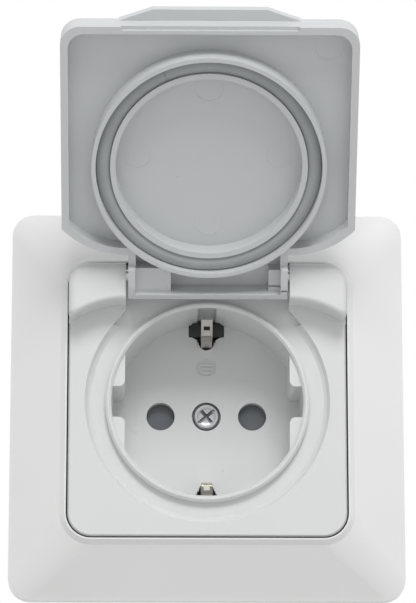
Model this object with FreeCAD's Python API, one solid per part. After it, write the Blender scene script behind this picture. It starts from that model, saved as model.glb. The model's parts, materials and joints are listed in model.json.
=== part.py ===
import FreeCAD, Part
import math
import os

# An outdoor flush socket with a hinged lid, seen as it is screwed to a wall
# X runs to the right, +Y runs into the wall and +Z is up, in millimetres
# The origin is the socket's centre line on the face of the wall

V = FreeCAD.Vector

# Round well for the plug, with its rim and the dished groove around it
well_radius = 19.5
well_depth = 16.2
well_wall = 1.8
floor_thickness = 2.0
rim_width = 1.25
rim_height = 0.2
rim_round = 0.45
groove_flat = 3.0
groove_slope = 1.15
groove_depth = 1.5
groove_dish = 0.45

# Square plate of the insert
plate_margin = 3.3
plate_thickness = 3.1
plate_gap = 0.3
plate_chamfer = 0.35
plate_rise = 0.4
gasket_thickness = 0.5
chamber_depth = 2.5

# Cover frame
frame_border = 11.75
frame_corner = 4.5
frame_side = 2.6
frame_bevel = 0.8
frame_rise = 9.5
frame_flare = 1.3
frame_shoulder = 0.9
frame_lip = 0.3
frame_wall = 1.9
opening_corner = 5.1
ledge_width = 1.25
ledge_thickness = 2.0
notch_width = 26.0
notch_lift = 1.0
foot_play = 1.0

# Side ribs of the well
rib_reach = 2.75
rib_gap = 6.4
rib_start = 0.9
rib_round = 1.2

# Pin holes and centre screw
pin_spacing = 19.0
pin_hole_radius = 2.93
boss_radius = 3.0
boss_gap = 0.3
screw_seat_radius = 3.0
screw_seat_depth = 1.3
screw_head_radius = 2.75
screw_head_height = 1.5
screw_head_chamfer = 0.35
screw_radius = 1.5
screw_play = 0.1
screw_length = 10.0
cross_reach = 1.95
cross_width = 0.8
cross_depth = 0.7

# Earth strip and the openings for its clips
earth_stem_half = 1.6
earth_wing_half = 3.7
earth_wing_drop = 2.6
earth_wing_lift = 0.55
earth_waist_drop = 3.8
earth_waist_sag = 0.35
earth_recess_half = 1.9
earth_recess_depth = 1.1
earth_flare_length = 5.0
earth_thickness = 0.8
earth_clip_width = 2.35
earth_bar_width = 5.0
earth_arm_drop = 3.7
earth_bulge_y = 1.2
earth_bulge_reach = 0.75
earth_bulge_radius = 2.2
earth_tip_y = -3.2
earth_tip_drop = 0.9
earth_slot_width = 1.3
earth_slot_length = 1.7
earth_slot_y = -0.5
earth_leg_width = 3.0

# Cheeks that carry the lid
cheek_width = 11.6
cheek_height = 6.2
cheek_inset = 1.0
cheek_corner = 4.2
cheek_round = 1.6
cheek_reach = 7.7
cheek_arc_radius = 18.5
cheek_edge_round = 0.8

# Sunk channel between the cheeks
channel_angle = math.radians(39.6)

# Lid and its hinge
hinge_y = -13.5
hinge_drop = 2.5
lid_open = 142.5
lid_side_overhang = 1.3
lid_overhang = 1.5
lid_corner = 4.0
lid_front = 3.1
lid_panel = 2.5
lid_wall = 1.5
lid_wall_gap = 0.9
lid_edge_round = 1.2
lid_play = 0.7
neck_play = 0.5
neck_end = 3.5
neck_end_wall = 1.3
neck_side_wall = 1.4
neck_sweep_play = 0.35
ear_half = 3.5
lip_half_base = 18.0
lip_half_edge = 11.3
lip_reach = 2.3
lip_inset = 0.3
lip_thickness = 2.0
scoop_half = 17.5
scoop_depth = 0.7

# Rings and seal under the lid
ring_side_gap = 1.45
ring_end_gap = 0.7
outer_ring_wall = 0.85
inner_ring_lap = 0.25
inner_ring_wall = 1.1
seal_gap = 0.35
seal_side_play = 0.1
seal_drop = 0.35

# Hinge pins and the spring on the left one
pin_radius = 1.2
pin_play = 0.05
pin_embed = 7.0
pin_end_gap = 0.8
bore_end_gap = 0.5
spring_wire = 0.25
spring_mean_radius = 1.75
spring_pitch = 0.8
spring_turns = 5.0
spring_play = 0.3
spring_house_length = 7.2
spring_house_height = 2.95
spring_bearing = 1.5
spring_tang = 1.0
spring_foot = 1.9
spring_inset = 0.3
spring_recess = 1.4
wire_sides = 6
wire_twist = 15.0
bearing_inset = 0.6
tongue_width = 2.4
tongue_slot = 0.4
tongue_rise = 1.0

# Steel support plate and the fixing holes in it
support_inset = 4.75
support_thickness = 1.0
support_corner = 3.0
box_screw_margin = 5.5
slot_radius = 2.1
slot_length = 6.6
support_play = 0.4

# Gasket behind the frame
wall_gasket_width = 1.7
wall_gasket_depth = 1.3
wall_gasket_play = 0.2

# Mechanism housing
base_wall = 2.8
base_depth = 31.0
base_flat_depth = 3.5
base_collar = 2.0
cover_thickness = 1.3
cover_play = 0.2
cover_hole_play = 0.2
clip_slot_play = 0.4
rear_cover_thickness = 1.6
rear_cover_inset = 1.0
rear_pocket_depth = 8.0
wire_hole_radius = 1.7
wire_hole_play = 0.3

# Live contacts and terminals
contact_leaf = 0.7
contact_gap = 4.3
contact_width = 6.0
contact_mouth = 0.5
contact_start = 0.4
contact_play = 0.5
pocket_side_play = 0.65
pocket_width_play = 1.2
strap_width = 3.2
strap_drop = 1.5
strap_play = 0.9
pocket_end_play = 0.3
terminal_width = 6.4
terminal_height = 6.0
terminal_length = 6.6
terminal_edge = 5.4
live_terminal_edge = 6.6
terminal_play = 0.3
terminal_inset = 0.6
clamp_radius = 1.6
clamp_play = 0.05
clamp_start = 1.0
clamp_head_radius = 2.6
clamp_head_height = 1.8
clamp_access = 2.9
slot_width = 0.8
slot_depth = 0.8

# Shutter behind the pin holes
shutter_hub = 5.4
shutter_overlap = 0.2
shutter_half_angle = 20.0
shutter_thickness = 1.7
shutter_play = 0.3
shutter_bore_play = 0.08
shutter_web = 0.6
return_wire = 0.22
return_radius = 3.75
return_pitch = 0.55
return_turns = 1.5
return_play = 0.3
return_lift = 0.1
return_tang = 1.3

# Expansion claws
claw_sink = 0.6
claw_thickness = 1.0
claw_width = 7.0
claw_offset = 9.0
claw_start = 3.4
claw_length = 20.0
claw_tab = 5.0
claw_tip = 2.0
claw_bevel = 0.4
claw_gap = 0.9
claw_play = 0.5
claw_hole_radius = 1.95
claw_hole_travel = 0.4
claw_screw_reach = 3.1
claw_screw_radius = 1.4
claw_screw_length = 12.0
claw_screw_play = 0.3
claw_head_radius = 2.4
claw_head_height = 1.5
claw_slot_start = 2.0
claw_slot_length = 9.5

# Rivets
rivet_radius = 0.9
rivet_head_radius = 1.35
rivet_head_height = 0.5
rivet_depth = 5.0
rivet_angle = math.radians(38.0)
rear_rivet_radius = 1.2
rear_rivet_head = 2.0
rear_rivet_inset = 4.5

# How far cutters run past a surface, and how close counts as touching
over = 1.0
near = 0.01
far = 100.0

# Sizes that follow from the ones above
rim_outer = well_radius + rim_width
well_outer = well_radius + well_wall
well_middle = well_radius + well_wall / 2
groove_radius = rim_outer + groove_flat + groove_slope
plate_half = groove_radius + plate_margin
plate_top = plate_half + plate_rise
opening_half = plate_half + plate_gap
plate_corner = opening_corner - plate_gap
frame_half = opening_half + frame_border
frame_front = -frame_rise
plate_front = frame_front
plate_back = plate_front + plate_thickness
ledge_front = plate_back + gasket_thickness
ledge_half = opening_half - ledge_width
rim_front = plate_front - rim_height
groove_floor = plate_front + groove_depth
floor_front = rim_front + well_depth
floor_back = floor_front + floor_thickness
cover_front = floor_back + chamber_depth
cover_back = cover_front + cover_thickness
seat_back = floor_front + screw_seat_depth
pin_x = pin_spacing / 2
cheek_front = plate_front - cheek_height
cheek_top = plate_top - cheek_inset
cheek_inner = plate_half - cheek_width
cheek_low = cheek_top - cheek_reach
cheek_arc_z = cheek_low - cheek_arc_radius
neck_half = cheek_inner - neck_play
neck_inner = neck_half - neck_side_wall
hinge_z = cheek_top - hinge_drop
lid_half = plate_half + lid_side_overhang
lid_tip = plate_half - plate_rise + lid_overhang
lid_face = hinge_y - lid_front
lid_inside = lid_face + lid_panel
lid_wall_end = plate_front - lid_wall_gap
lid_arc_radius = cheek_arc_radius - lid_play
outer_ring_radius = groove_radius - ring_side_gap
inner_ring_radius = well_radius + inner_ring_lap
ring_end = groove_floor - ring_end_gap
seal_front = rim_front - seal_gap
neck_radius = groove_floor - hinge_y - neck_sweep_play
ear_end = hinge_y + neck_radius
neck_top = hinge_z + neck_end
spring_chamber = spring_mean_radius + spring_wire + spring_play
support_half = frame_half - support_inset
support_hole = well_outer + support_play
base_radius = support_hole + base_wall
base_flat = base_radius - base_flat_depth
box_screw_x = base_radius + box_screw_margin
terminal_z = base_flat - terminal_edge
live_terminal_z = base_flat - live_terminal_edge
terminal_front = base_depth - rear_pocket_depth + terminal_inset
pocket_back = terminal_front + pocket_end_play
earth_arm = well_radius - earth_arm_drop
claw_leg_x = base_radius - claw_sink
claw_flat = claw_leg_x - claw_play
claw_screw_x = claw_leg_x + claw_screw_reach
shutter_reach = pin_x + pin_hole_radius + shutter_overlap


def square_edges(half, corner, y):
    """Edges of a square with round corners at depth y, a side and then a corner."""
    inner = half - corner
    diagonal = inner + corner * math.sqrt(0.5)
    edges = []
    for turn in range(4):
        spin = FreeCAD.Rotation(V(0, 1, 0), -90.0 * turn)
        start, end, middle, after = [
            spin.multVec(V(x, y, z))
            for x, z in ((half, -inner), (half, inner), (diagonal, diagonal), (inner, half))
        ]
        edges.append(Part.LineSegment(start, end).toShape())
        edges.append(Part.Arc(end, middle, after).toShape())
    return edges


def square_prism(half, corner, y_start, y_end, rise=0.0):
    """Block with a rounded square outline between two depths, lifted by rise."""
    face = Part.Face(Part.Wire(square_edges(half, corner, y_start)))
    block_shape = face.extrude(V(0, y_end - y_start, 0))
    block_shape.translate(V(0, 0, rise))
    return block_shape


def square_loft(sections):
    """Solid with flat sides through rounded squares given as half, corner, y."""
    rings = [square_edges(*section) for section in sections]
    faces = [Part.Face(Part.Wire(rings[0])), Part.Face(Part.Wire(rings[-1]))]
    for ring, following in zip(rings[:-1], rings[1:]):
        for index, (edge, matching) in enumerate(zip(ring, following)):
            if index % 2:
                faces.append(Part.makeRuledSurface(edge, matching))
                continue
            first, second = edge.Vertexes[0].Point, edge.Vertexes[1].Point
            third, fourth = matching.Vertexes[1].Point, matching.Vertexes[0].Point
            faces.append(Part.Face(Part.makePolygon([first, second, third, fourth, first])))
    shell = Part.makeShell(faces)
    shell.sewShape()
    solid = Part.makeSolid(shell)
    if solid.Volume < 0:
        solid.reverse()
    return solid


def rod_y(radius, y_start, y_end, x=0.0, z=0.0):
    """Cylinder along Y."""
    return Part.makeCylinder(radius, y_end - y_start, V(x, y_start, z), V(0, 1, 0))


def rod_x(radius, x_start, x_end, y, z):
    """Cylinder along X."""
    return Part.makeCylinder(radius, x_end - x_start, V(x_start, y, z), V(1, 0, 0))


def rod_z(radius, z_start, z_end, x, y):
    """Cylinder along Z."""
    return Part.makeCylinder(radius, z_end - z_start, V(x, y, z_start), V(0, 0, 1))


def tube_y(outer, inner, y_start, y_end):
    """Round tube along the centre line."""
    return rod_y(outer, y_start, y_end).cut(rod_y(inner, y_start - over, y_end + over))


def block(x_start, x_end, y_start, y_end, z_start, z_end):
    """Rectangular block between two corners."""
    size = (x_end - x_start, y_end - y_start, z_end - z_start)
    return Part.makeBox(*size, V(x_start, y_start, z_start))


def prism_y(points, y_start, y_end):
    """Block with a straight-sided outline given as x, z."""
    corners = [V(x, y_start, z) for x, z in points]
    return Part.Face(Part.makePolygon(corners + corners[:1])).extrude(V(0, y_end - y_start, 0))


def mirror_x(shape):
    """The same shape on the other side of the upright middle plane."""
    return shape.mirror(V(0, 0, 0), V(1, 0, 0))


def mirror_z(shape):
    """The same shape on the other side of the level middle plane."""
    return shape.mirror(V(0, 0, 0), V(0, 0, 1))


def revolve_y(points):
    """Turned solid about the centre line from points given as radius, y."""
    corners = [V(radius, y, 0) for radius, y in points]
    face = Part.Face(Part.makePolygon(corners + corners[:1]))
    return face.revolve(V(0, 0, 0), V(0, 1, 0), 360)


def slot_y(length, radius, y_start, y_end, x, z, along_x):
    """Round-ended cutter, length from end to end."""
    straight = length / 2 - radius
    step_x, step_z = (straight, 0) if along_x else (0, straight)
    wide_x, wide_z = (0, radius) if along_x else (radius, 0)
    ends = [rod_y(radius, y_start, y_end, x + side * step_x, z + side * step_z) for side in (-1, 1)]
    half_x, half_z = step_x + wide_x, step_z + wide_z
    middle = block(x - half_x, x + half_x, y_start, y_end, z - half_z, z + half_z)
    return ends[0].fuse([ends[1], middle]).removeSplitter()


def edges_where(shape, test):
    """Edges of a shape whose middle point passes a test."""
    picked = []
    for edge in shape.Edges:
        middle = edge.valueAt((edge.FirstParameter + edge.LastParameter) / 2)
        if test(middle, edge):
            picked.append(edge)
    return picked


def arc_edge(edge, radius):
    """Whether an edge is part of a circle of a given radius."""
    curve = edge.Curve
    return isinstance(curve, Part.Circle) and abs(curve.Radius - radius) < near


def cover_frame():
    """Sloped square surround that covers the wall box."""
    slope_half = opening_half + frame_flare
    slope_y = frame_front + frame_shoulder
    edge_half = frame_half - frame_bevel
    edge_y = -frame_side - frame_bevel / 2
    incline = (edge_y - slope_y) / (edge_half - slope_half)
    drop = frame_wall * math.hypot(1, incline)
    outer = square_loft([
        (frame_half, frame_corner, 0.0),
        (frame_half, frame_corner, -frame_side),
        (edge_half, frame_corner - frame_bevel / 2, edge_y),
        (slope_half, opening_corner + frame_flare, slope_y),
        (opening_half + frame_lip, opening_corner + frame_lip, frame_front),
    ])
    skirt_half = ledge_half + frame_wall
    hollow_top = ledge_front + ledge_thickness
    hollow_half = frame_half - frame_wall
    hollow_corner = frame_corner - frame_wall
    hollow_start = edge_y + drop - incline * (edge_half - hollow_half)
    hollow_end_half = edge_half - (edge_y + drop - hollow_top) / incline
    hollow = square_loft([
        (hollow_half, hollow_corner, over),
        (hollow_half, hollow_corner, hollow_start),
        (hollow_end_half, opening_corner + frame_flare, hollow_top),
    ])
    skirt = square_prism(skirt_half, opening_corner + ledge_width / 2, hollow_top - over, over)
    opening = square_prism(opening_half, opening_corner, frame_front - over, ledge_front)
    window = square_prism(ledge_half, opening_corner - ledge_width, ledge_front - over, over)
    foot = square_prism(support_half + foot_play, support_corner, -support_thickness, over)
    notch = notch_width / 2
    notch_end = skirt_half + over / 2
    notch_top = hollow_top + notch_lift
    across = block(-notch, notch, notch_top, 0, -notch_end, notch_end)
    upright = block(-notch_end, notch_end, notch_top, 0, -notch, notch)
    frame = outer.cut([opening, window, hollow.cut(skirt), foot, across, upright])
    frame.translate(V(0, 0, plate_rise))
    return frame


def insert_gasket():
    """Thin black rubber ring between the plate and the frame."""
    outer = square_prism(opening_half - plate_gap / 2, plate_corner, plate_back, ledge_front, plate_rise)
    window_corner = opening_corner - ledge_width
    inner = square_prism(ledge_half, window_corner, plate_back - over, ledge_front + over, plate_rise)
    return outer.cut(inner)


def wall_gasket():
    """Foam ring that seals the frame to the wall."""
    outer_half = frame_half - frame_wall - wall_gasket_play
    inner_half = outer_half - wall_gasket_width
    corner = frame_corner - frame_wall
    outer = square_prism(outer_half, corner, -wall_gasket_depth, 0, plate_rise)
    inner = square_prism(inner_half, corner / 2, -wall_gasket_depth - over, over, plate_rise)
    return outer.cut(inner)


def well_cup():
    """Round cup of the insert with its raised rim, floor and boss."""
    cup = revolve_y([
        (well_radius, rim_front + rim_round),
        (well_radius + rim_round, rim_front),
        (rim_outer - rim_round, rim_front),
        (rim_outer, rim_front + rim_round),
        (rim_outer, groove_floor),
        (well_outer, groove_floor),
        (well_outer, cover_front),
        (well_radius, cover_front),
    ])
    floor = rod_y(well_middle, floor_front, floor_back)
    boss = rod_y(boss_radius, floor_front, cover_back - boss_gap)
    return cup.fuse([floor, boss]).removeSplitter()


def groove_cutter():
    """Dished ring that is cut out of the plate around the rim."""
    flat = rim_outer + groove_flat
    return revolve_y([
        (0, plate_front - over),
        (groove_radius, plate_front - over),
        (groove_radius, plate_front),
        (flat + groove_slope / 2, groove_floor - groove_dish),
        (flat, groove_floor),
        (0, groove_floor),
    ])


def side_ribs():
    """Upper and lower guide rib on both sides of the well."""
    inner = well_radius - rib_reach
    start = rim_front + rib_start
    half_gap = rib_gap / 2
    chord = block(inner, well_outer, start, floor_back, half_gap, well_radius)
    corner = edges_where(chord, lambda p, e: abs(p.x - inner) < near and abs(p.z - half_gap) < near)
    upper = chord.makeFillet(rib_round, corner).common(rod_y(well_middle, start, floor_back))
    right = [upper, mirror_z(upper)]
    return right + [mirror_x(rib) for rib in right]


def earth_opening():
    """Cuts for the upper earth clip: recess in the wall, flare and opening in the floor."""
    top = well_radius + earth_recess_depth
    recess = block(-earth_recess_half, earth_recess_half, rim_front + rib_start, floor_back + over,
                   well_radius - earth_waist_drop, top)
    wing_low = well_radius - earth_wing_drop
    wing_high = well_radius + earth_wing_lift
    flare_start = floor_front - earth_flare_length
    corners = [(-earth_recess_half, flare_start), (earth_recess_half, flare_start),
               (earth_wing_half, floor_front), (-earth_wing_half, floor_front)]
    points = [V(x, y, wing_low) for x, y in corners]
    flare = Part.Face(Part.makePolygon(points + points[:1])).extrude(V(0, 0, wing_high - wing_low))
    return [recess, flare, earth_floor_opening(wing_low, wing_high)]


def earth_floor_opening(wing_low, wing_high):
    """Winged opening in the floor, drawn in to a stem with a round end."""
    y = floor_front - over
    waist = V(earth_stem_half, y, well_radius - earth_waist_drop)
    wing = V(earth_wing_half, y, wing_low)
    chord = (wing - waist).normalize()
    sag = V(-chord.z, 0, chord.x) * earth_waist_sag
    bend = (wing + waist) / 2 + sag
    left_waist, left_wing, left_bend = [V(-p.x, p.y, p.z) for p in (waist, wing, bend)]
    stem_end = V(0, y, waist.z - earth_stem_half)
    right_top = V(earth_wing_half, y, wing_high)
    left_top = V(-earth_wing_half, y, wing_high)
    outline = Part.Wire([
        Part.LineSegment(left_top, right_top).toShape(),
        Part.LineSegment(right_top, wing).toShape(),
        Part.Arc(wing, bend, waist).toShape(),
        Part.Arc(waist, stem_end, left_waist).toShape(),
        Part.Arc(left_waist, left_bend, left_wing).toShape(),
        Part.LineSegment(left_wing, left_top).toShape(),
    ])
    return Part.Face(outline).extrude(V(0, floor_back + over - y, 0))


def cheek():
    """Right-hand raised block that carries one end of the lid."""
    side = plate_half
    inset = cheek_corner * (1 - math.sqrt(0.5))
    across = side - cheek_inner
    low_side = cheek_arc_z + math.sqrt(cheek_arc_radius ** 2 - across ** 2)
    turn = math.asin(across / cheek_arc_radius) / 2
    arc_x = cheek_inner + cheek_arc_radius * math.sin(turn)
    arc_z = cheek_arc_z + cheek_arc_radius * math.cos(turn)
    inner_low, inner_top, corner_start, corner_middle, corner_end, side_low, arc_middle = [
        V(x, plate_front, z) for x, z in (
            (cheek_inner, cheek_low), (cheek_inner, cheek_top), (side - cheek_corner, cheek_top),
            (side - inset, cheek_top - inset), (side, cheek_top - cheek_corner), (side, low_side),
            (arc_x, arc_z))
    ]
    outline = Part.Face(Part.Wire([
        Part.LineSegment(inner_low, inner_top).toShape(),
        Part.LineSegment(inner_top, corner_start).toShape(),
        Part.Arc(corner_start, corner_middle, corner_end).toShape(),
        Part.LineSegment(corner_end, side_low).toShape(),
        Part.Arc(side_low, arc_middle, inner_low).toShape(),
    ]))
    body = outline.extrude(V(0, -cheek_height, 0))
    rim = edges_where(body, lambda p, e: abs(p.y - cheek_front) < near and p.x > cheek_inner + near
                      and not arc_edge(e, cheek_arc_radius))
    body = body.makeFillet(cheek_round, rim)
    foot_edge = edges_where(body, lambda p, e: abs(p.y - cheek_front) < near
                            and arc_edge(e, cheek_arc_radius))
    body = body.makeFillet(cheek_edge_round, foot_edge)
    return body.fuse(outline.extrude(V(0, plate_thickness, 0))).removeSplitter()


def hinge_channel():
    """Sunk floor between the cheeks, with slanted sides that run into the groove."""
    tangent_x = groove_radius * math.cos(channel_angle)
    tangent_z = groove_radius * math.sin(channel_angle)
    corner_z = tangent_z + (tangent_x - cheek_inner) / math.tan(channel_angle)
    right = [(cheek_inner, far), (cheek_inner, corner_z), (tangent_x, tangent_z)]
    left = [(-x, z) for x, z in reversed(right)]
    return prism_y(right + left, cheek_front - over, groove_floor)


def hinge_holes():
    """Pin holes and the spring recess in the cheeks."""
    right = rod_x(pin_radius, cheek_inner - over, cheek_inner + pin_embed, hinge_y, hinge_z)
    recess = rod_x(spring_chamber, -cheek_inner - spring_recess, -cheek_inner, hinge_y, hinge_z)
    return [right, mirror_x(right), recess]


def insert_plate():
    """Square plate with its chamfered edge, cheeks, groove and channel."""
    plate = square_prism(plate_half, plate_corner, plate_front, plate_back)
    front_edges = edges_where(plate, lambda p, e: abs(p.y - plate_front) < near)
    plate = plate.makeChamfer(plate_chamfer, front_edges)
    plate.translate(V(0, 0, plate_rise))
    plate = plate.fuse([cheek(), mirror_x(cheek())])
    return plate.cut([groove_cutter(), hinge_channel(), rod_y(well_middle, plate_front - over, cover_front)])


def socket_insert():
    """Plate, well, cheeks and floor, moulded as one piece."""
    body = insert_plate().fuse([well_cup()] + side_ribs()).removeSplitter()
    cuts = hinge_holes() + earth_opening() + [mirror_z(cut) for cut in earth_opening()]
    for side in (-1, 1):
        cuts.append(rod_y(pin_hole_radius, floor_front - over, floor_back + over, side * pin_x))
    cuts.append(rod_y(screw_seat_radius, floor_front - over, seat_back))
    cuts.append(rod_y(screw_radius + screw_play, floor_front, cover_back + over))
    return body.cut(cuts)


def lid_outline(shrink, top):
    """Outline of the closed lid, drawn in by shrink, with its neck cut at top."""
    side = lid_half - shrink
    low = -lid_tip + shrink
    corner = lid_corner - shrink / 2
    inset = corner * (1 - math.sqrt(0.5))
    radius = lid_arc_radius - shrink
    neck = neck_half - shrink
    side_z = cheek_arc_z + math.sqrt(radius ** 2 - (side - cheek_inner) ** 2)
    neck_z = cheek_arc_z + math.sqrt(radius ** 2 - (neck - cheek_inner) ** 2)
    turn = math.asin((side - cheek_inner) / radius) / 2
    arc_x = cheek_inner + radius * math.sin(turn)
    arc_z = cheek_arc_z + radius * math.cos(turn)
    right = [V(x, lid_face, z) for x, z in (
        (neck, top), (neck, neck_z), (arc_x, arc_z), (side, side_z),
        (side, low + corner), (side - inset, low + inset), (side - corner, low))]
    left = [V(-p.x, p.y, p.z) for p in right]
    return Part.Wire([
        Part.LineSegment(left[0], right[0]).toShape(),
        Part.LineSegment(right[0], right[1]).toShape(),
        Part.Arc(right[1], right[2], right[3]).toShape(),
        Part.LineSegment(right[3], right[4]).toShape(),
        Part.Arc(right[4], right[5], right[6]).toShape(),
        Part.LineSegment(right[6], left[6]).toShape(),
        Part.Arc(left[6], left[5], left[4]).toShape(),
        Part.LineSegment(left[4], left[3]).toShape(),
        Part.Arc(left[3], left[2], left[1]).toShape(),
        Part.LineSegment(left[1], left[0]).toShape(),
    ])


def lid_shell():
    """Lid panel with its perimeter wall and open neck."""
    outer = Part.Face(lid_outline(0, neck_top)).extrude(V(0, lid_wall_end - lid_face, 0))
    rounded = edges_where(outer, lambda p, e: abs(p.y - lid_face) < near and p.z < hinge_z - neck_end)
    outer = outer.makeFillet(lid_edge_round, rounded)
    inner = Part.Face(lid_outline(lid_wall, neck_top - neck_end_wall)).extrude(V(0, far, 0))
    inner.translate(V(0, lid_panel, 0))
    return outer.cut(inner)


def lid_rings():
    """Two round ribs on the inside of the lid, with the seal's groove between them."""
    start = lid_inside - lid_panel / 2
    return [tube_y(outer_ring_radius, outer_ring_radius - outer_ring_wall, start, ring_end),
            tube_y(inner_ring_radius, inner_ring_radius - inner_ring_wall, start, seal_front)]


def neck_parts():
    """Ears, end wall, spring housing and bearing block of the lid's neck."""
    start = lid_inside - lid_panel / 2
    ear_low = hinge_z - ear_half
    wall_low = neck_top - neck_end_wall
    right_ear = block(neck_inner, neck_half, start, ear_end, ear_low, neck_top)
    end_wall = block(-neck_half, neck_half, start, ear_end, wall_low, neck_top)
    house_end = hinge_y + spring_house_height
    house = block(-neck_half, -neck_inner + spring_house_length, start, house_end,
                  hinge_z - spring_house_height, neck_top)
    bearing_half = spring_house_height - bearing_inset
    bearing = block(neck_inner - tongue_width, neck_half, start, house_end - bearing_inset,
                    hinge_z - bearing_half, hinge_z + bearing_half)
    reach = block(-neck_half, neck_half, hinge_y - neck_radius, ear_end, ear_low, hinge_z)
    sweep = reach.fuse(rod_x(neck_radius, -neck_half, neck_half, hinge_y, hinge_z))
    return [piece.common(sweep) for piece in (right_ear, mirror_x(right_ear), end_wall, house, bearing)]


def thumb_lip():
    """Tapered lip along the lid's free edge."""
    lip_low = -lid_tip - lip_reach
    root = -lid_tip + over
    outline = [(-lip_half_base, root), (-lip_half_base, -lid_tip), (-lip_half_edge, lip_low),
               (lip_half_edge, lip_low), (lip_half_base, -lid_tip), (lip_half_base, root)]
    start = lid_face + lip_inset
    return prism_y(outline, start, start + lip_thickness)


def neck_cuts():
    """Bores for the hinge pins, the spring's chamber and the slot behind the tongue."""
    house_end = -neck_inner + spring_house_length
    bore_radius = pin_radius + pin_play
    chamber = rod_x(spring_chamber, -neck_half - over, house_end - spring_bearing, hinge_y, hinge_z)
    left = rod_x(bore_radius, -neck_half, house_end - bore_end_gap, hinge_y, hinge_z)
    right = rod_x(bore_radius, neck_inner - tongue_width + bore_end_gap, neck_half + over, hinge_y, hinge_z)
    slot_z = hinge_z + tongue_rise
    slot = block(neck_inner - tongue_width - over, neck_half + over, hinge_y + bore_radius + tongue_slot,
                 ear_end + over, slot_z, slot_z + tongue_slot)
    return [chamber, left, right, slot]


def hinged_lid():
    """Lid in its closed place, with rings, neck, thumb lip and hinge bores."""
    body = lid_shell().fuse(lid_rings() + neck_parts() + [thumb_lip()]).removeSplitter()
    scoop = block(-scoop_half, scoop_half, lid_wall_end - scoop_depth, lid_wall_end + over,
                  -lid_tip - over, -lid_tip + lid_wall / 2)
    seal_room = tube_y(outer_ring_radius - outer_ring_wall, inner_ring_radius, lid_inside, lid_wall_end)
    return body.cut(neck_cuts() + [scoop, seal_room, lid_spring()])


def lid_seal():
    """Soft ring that lies between the two rings of the lid."""
    inner = inner_ring_radius + seal_side_play
    outer = outer_ring_radius - outer_ring_wall - seal_side_play
    side_end = seal_front - seal_drop
    return revolve_y([
        (inner, lid_inside), (outer, lid_inside), (outer, side_end),
        ((outer + inner) / 2, seal_front), (inner, side_end),
    ])


def helix_wire(radius, wire, pitch, turns):
    """Wire wound about +Z from the origin, drawn with a few flat sides."""
    path = Part.Wire(Part.makeHelix(pitch, pitch * turns, radius).Edges)
    corners = []
    for side in range(wire_sides):
        angle = math.radians(wire_twist + 360.0 * side / wire_sides)
        corners.append(V(radius + wire * math.cos(angle), 0, wire * math.sin(angle)))
    section = Part.makePolygon(corners + corners[:1])
    return path.makePipeShell([section], True, True)


def lid_spring():
    """Torsion spring on the left hinge pin, with a tang in each part."""
    coil = helix_wire(spring_mean_radius, spring_wire, spring_pitch, spring_turns)
    length = spring_pitch * spring_turns
    low = V(spring_mean_radius, 0, 0)
    high = V(spring_mean_radius, 0, length)
    reach = spring_tang + neck_play + neck_side_wall
    tang = Part.makeCylinder(spring_wire, reach, high, V(0, 0, 1))
    foot = Part.makeCylinder(spring_wire, spring_foot, low, V(0, 0, -1))
    tang = tang.fuse(Part.makeSphere(spring_wire, high))
    foot = foot.fuse(Part.makeSphere(spring_wire, low))
    spring = coil.fuse([tang, foot]).removeSplitter()
    spring.rotate(V(0, 0, 0), V(0, 1, 0), -90)
    spring.translate(V(-neck_inner + length + spring_inset, hinge_y, hinge_z))
    return spring


def hinge_pin(side):
    """Steel pin from one cheek into the lid's neck."""
    reach = spring_house_length if side < 0 else tongue_width
    pin = rod_x(pin_radius, neck_inner - reach + pin_end_gap, cheek_inner + pin_embed, hinge_y, hinge_z)
    return mirror_x(pin) if side < 0 else pin


def open_lid(shape):
    """Turns a piece of the closed lid to where the open lid stands."""
    turned = shape.copy()
    turned.rotate(V(0, hinge_y, hinge_z), V(1, 0, 0), -lid_open)
    return turned


def centre_screw():
    """Screw that holds the insert, with a cross in its head."""
    head_top = seat_back - screw_head_height
    screw = revolve_y([
        (0, head_top), (screw_head_radius - screw_head_chamfer, head_top),
        (screw_head_radius, head_top + screw_head_chamfer), (screw_head_radius, seat_back),
        (screw_radius, seat_back), (screw_radius, seat_back + screw_length), (0, seat_back + screw_length),
    ])
    half = cross_width / 2
    end = head_top + cross_depth
    across = block(-cross_reach, cross_reach, head_top - over, end, -half, half)
    upright = block(-half, half, head_top - over, end, -cross_reach, cross_reach)
    return screw.cut([across, upright])


def clip_line():
    """Middle line of the upper earth clip from the bar to its tip, given as y, z."""
    arm = earth_arm + earth_thickness / 2
    centre_z = arm - earth_bulge_reach + earth_bulge_radius
    points = [(cover_back + earth_thickness / 2, arm)]
    for angle in range(-40, 51, 15):
        lean = math.radians(angle)
        points.append((earth_bulge_y - earth_bulge_radius * math.sin(lean),
                       centre_z - earth_bulge_radius * math.cos(lean)))
    return points + [(earth_tip_y, well_radius - earth_tip_drop)]


def earth_strip():
    """Bent strip with the two earth clips and the screw thread between them."""
    half = earth_thickness / 2
    bar_y = cover_back + half
    line = clip_line()
    pieces = [strip_piece((bar_y, -over), line[0], half, earth_bar_width / 2)]
    for start, end in zip(line[:-1], line[1:]):
        pieces.append(strip_piece(start, end, half, earth_clip_width / 2))
    for y, z in line[:-1]:
        pieces.append(rod_x(half, -earth_clip_width / 2, earth_clip_width / 2, y, z))
    upper = pieces[0].fuse(pieces[1:])
    slot = block(-earth_slot_width / 2, earth_slot_width / 2, earth_slot_y - earth_slot_length, earth_slot_y,
                 earth_arm, well_outer)
    upper = upper.cut(slot)
    leg = block(-earth_leg_width / 2, earth_leg_width / 2, cover_back, terminal_front,
                earth_arm, earth_arm + earth_thickness)
    return upper.fuse([mirror_z(upper), leg]).removeSplitter().cut(rod_y(screw_radius, cover_back, far))


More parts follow.
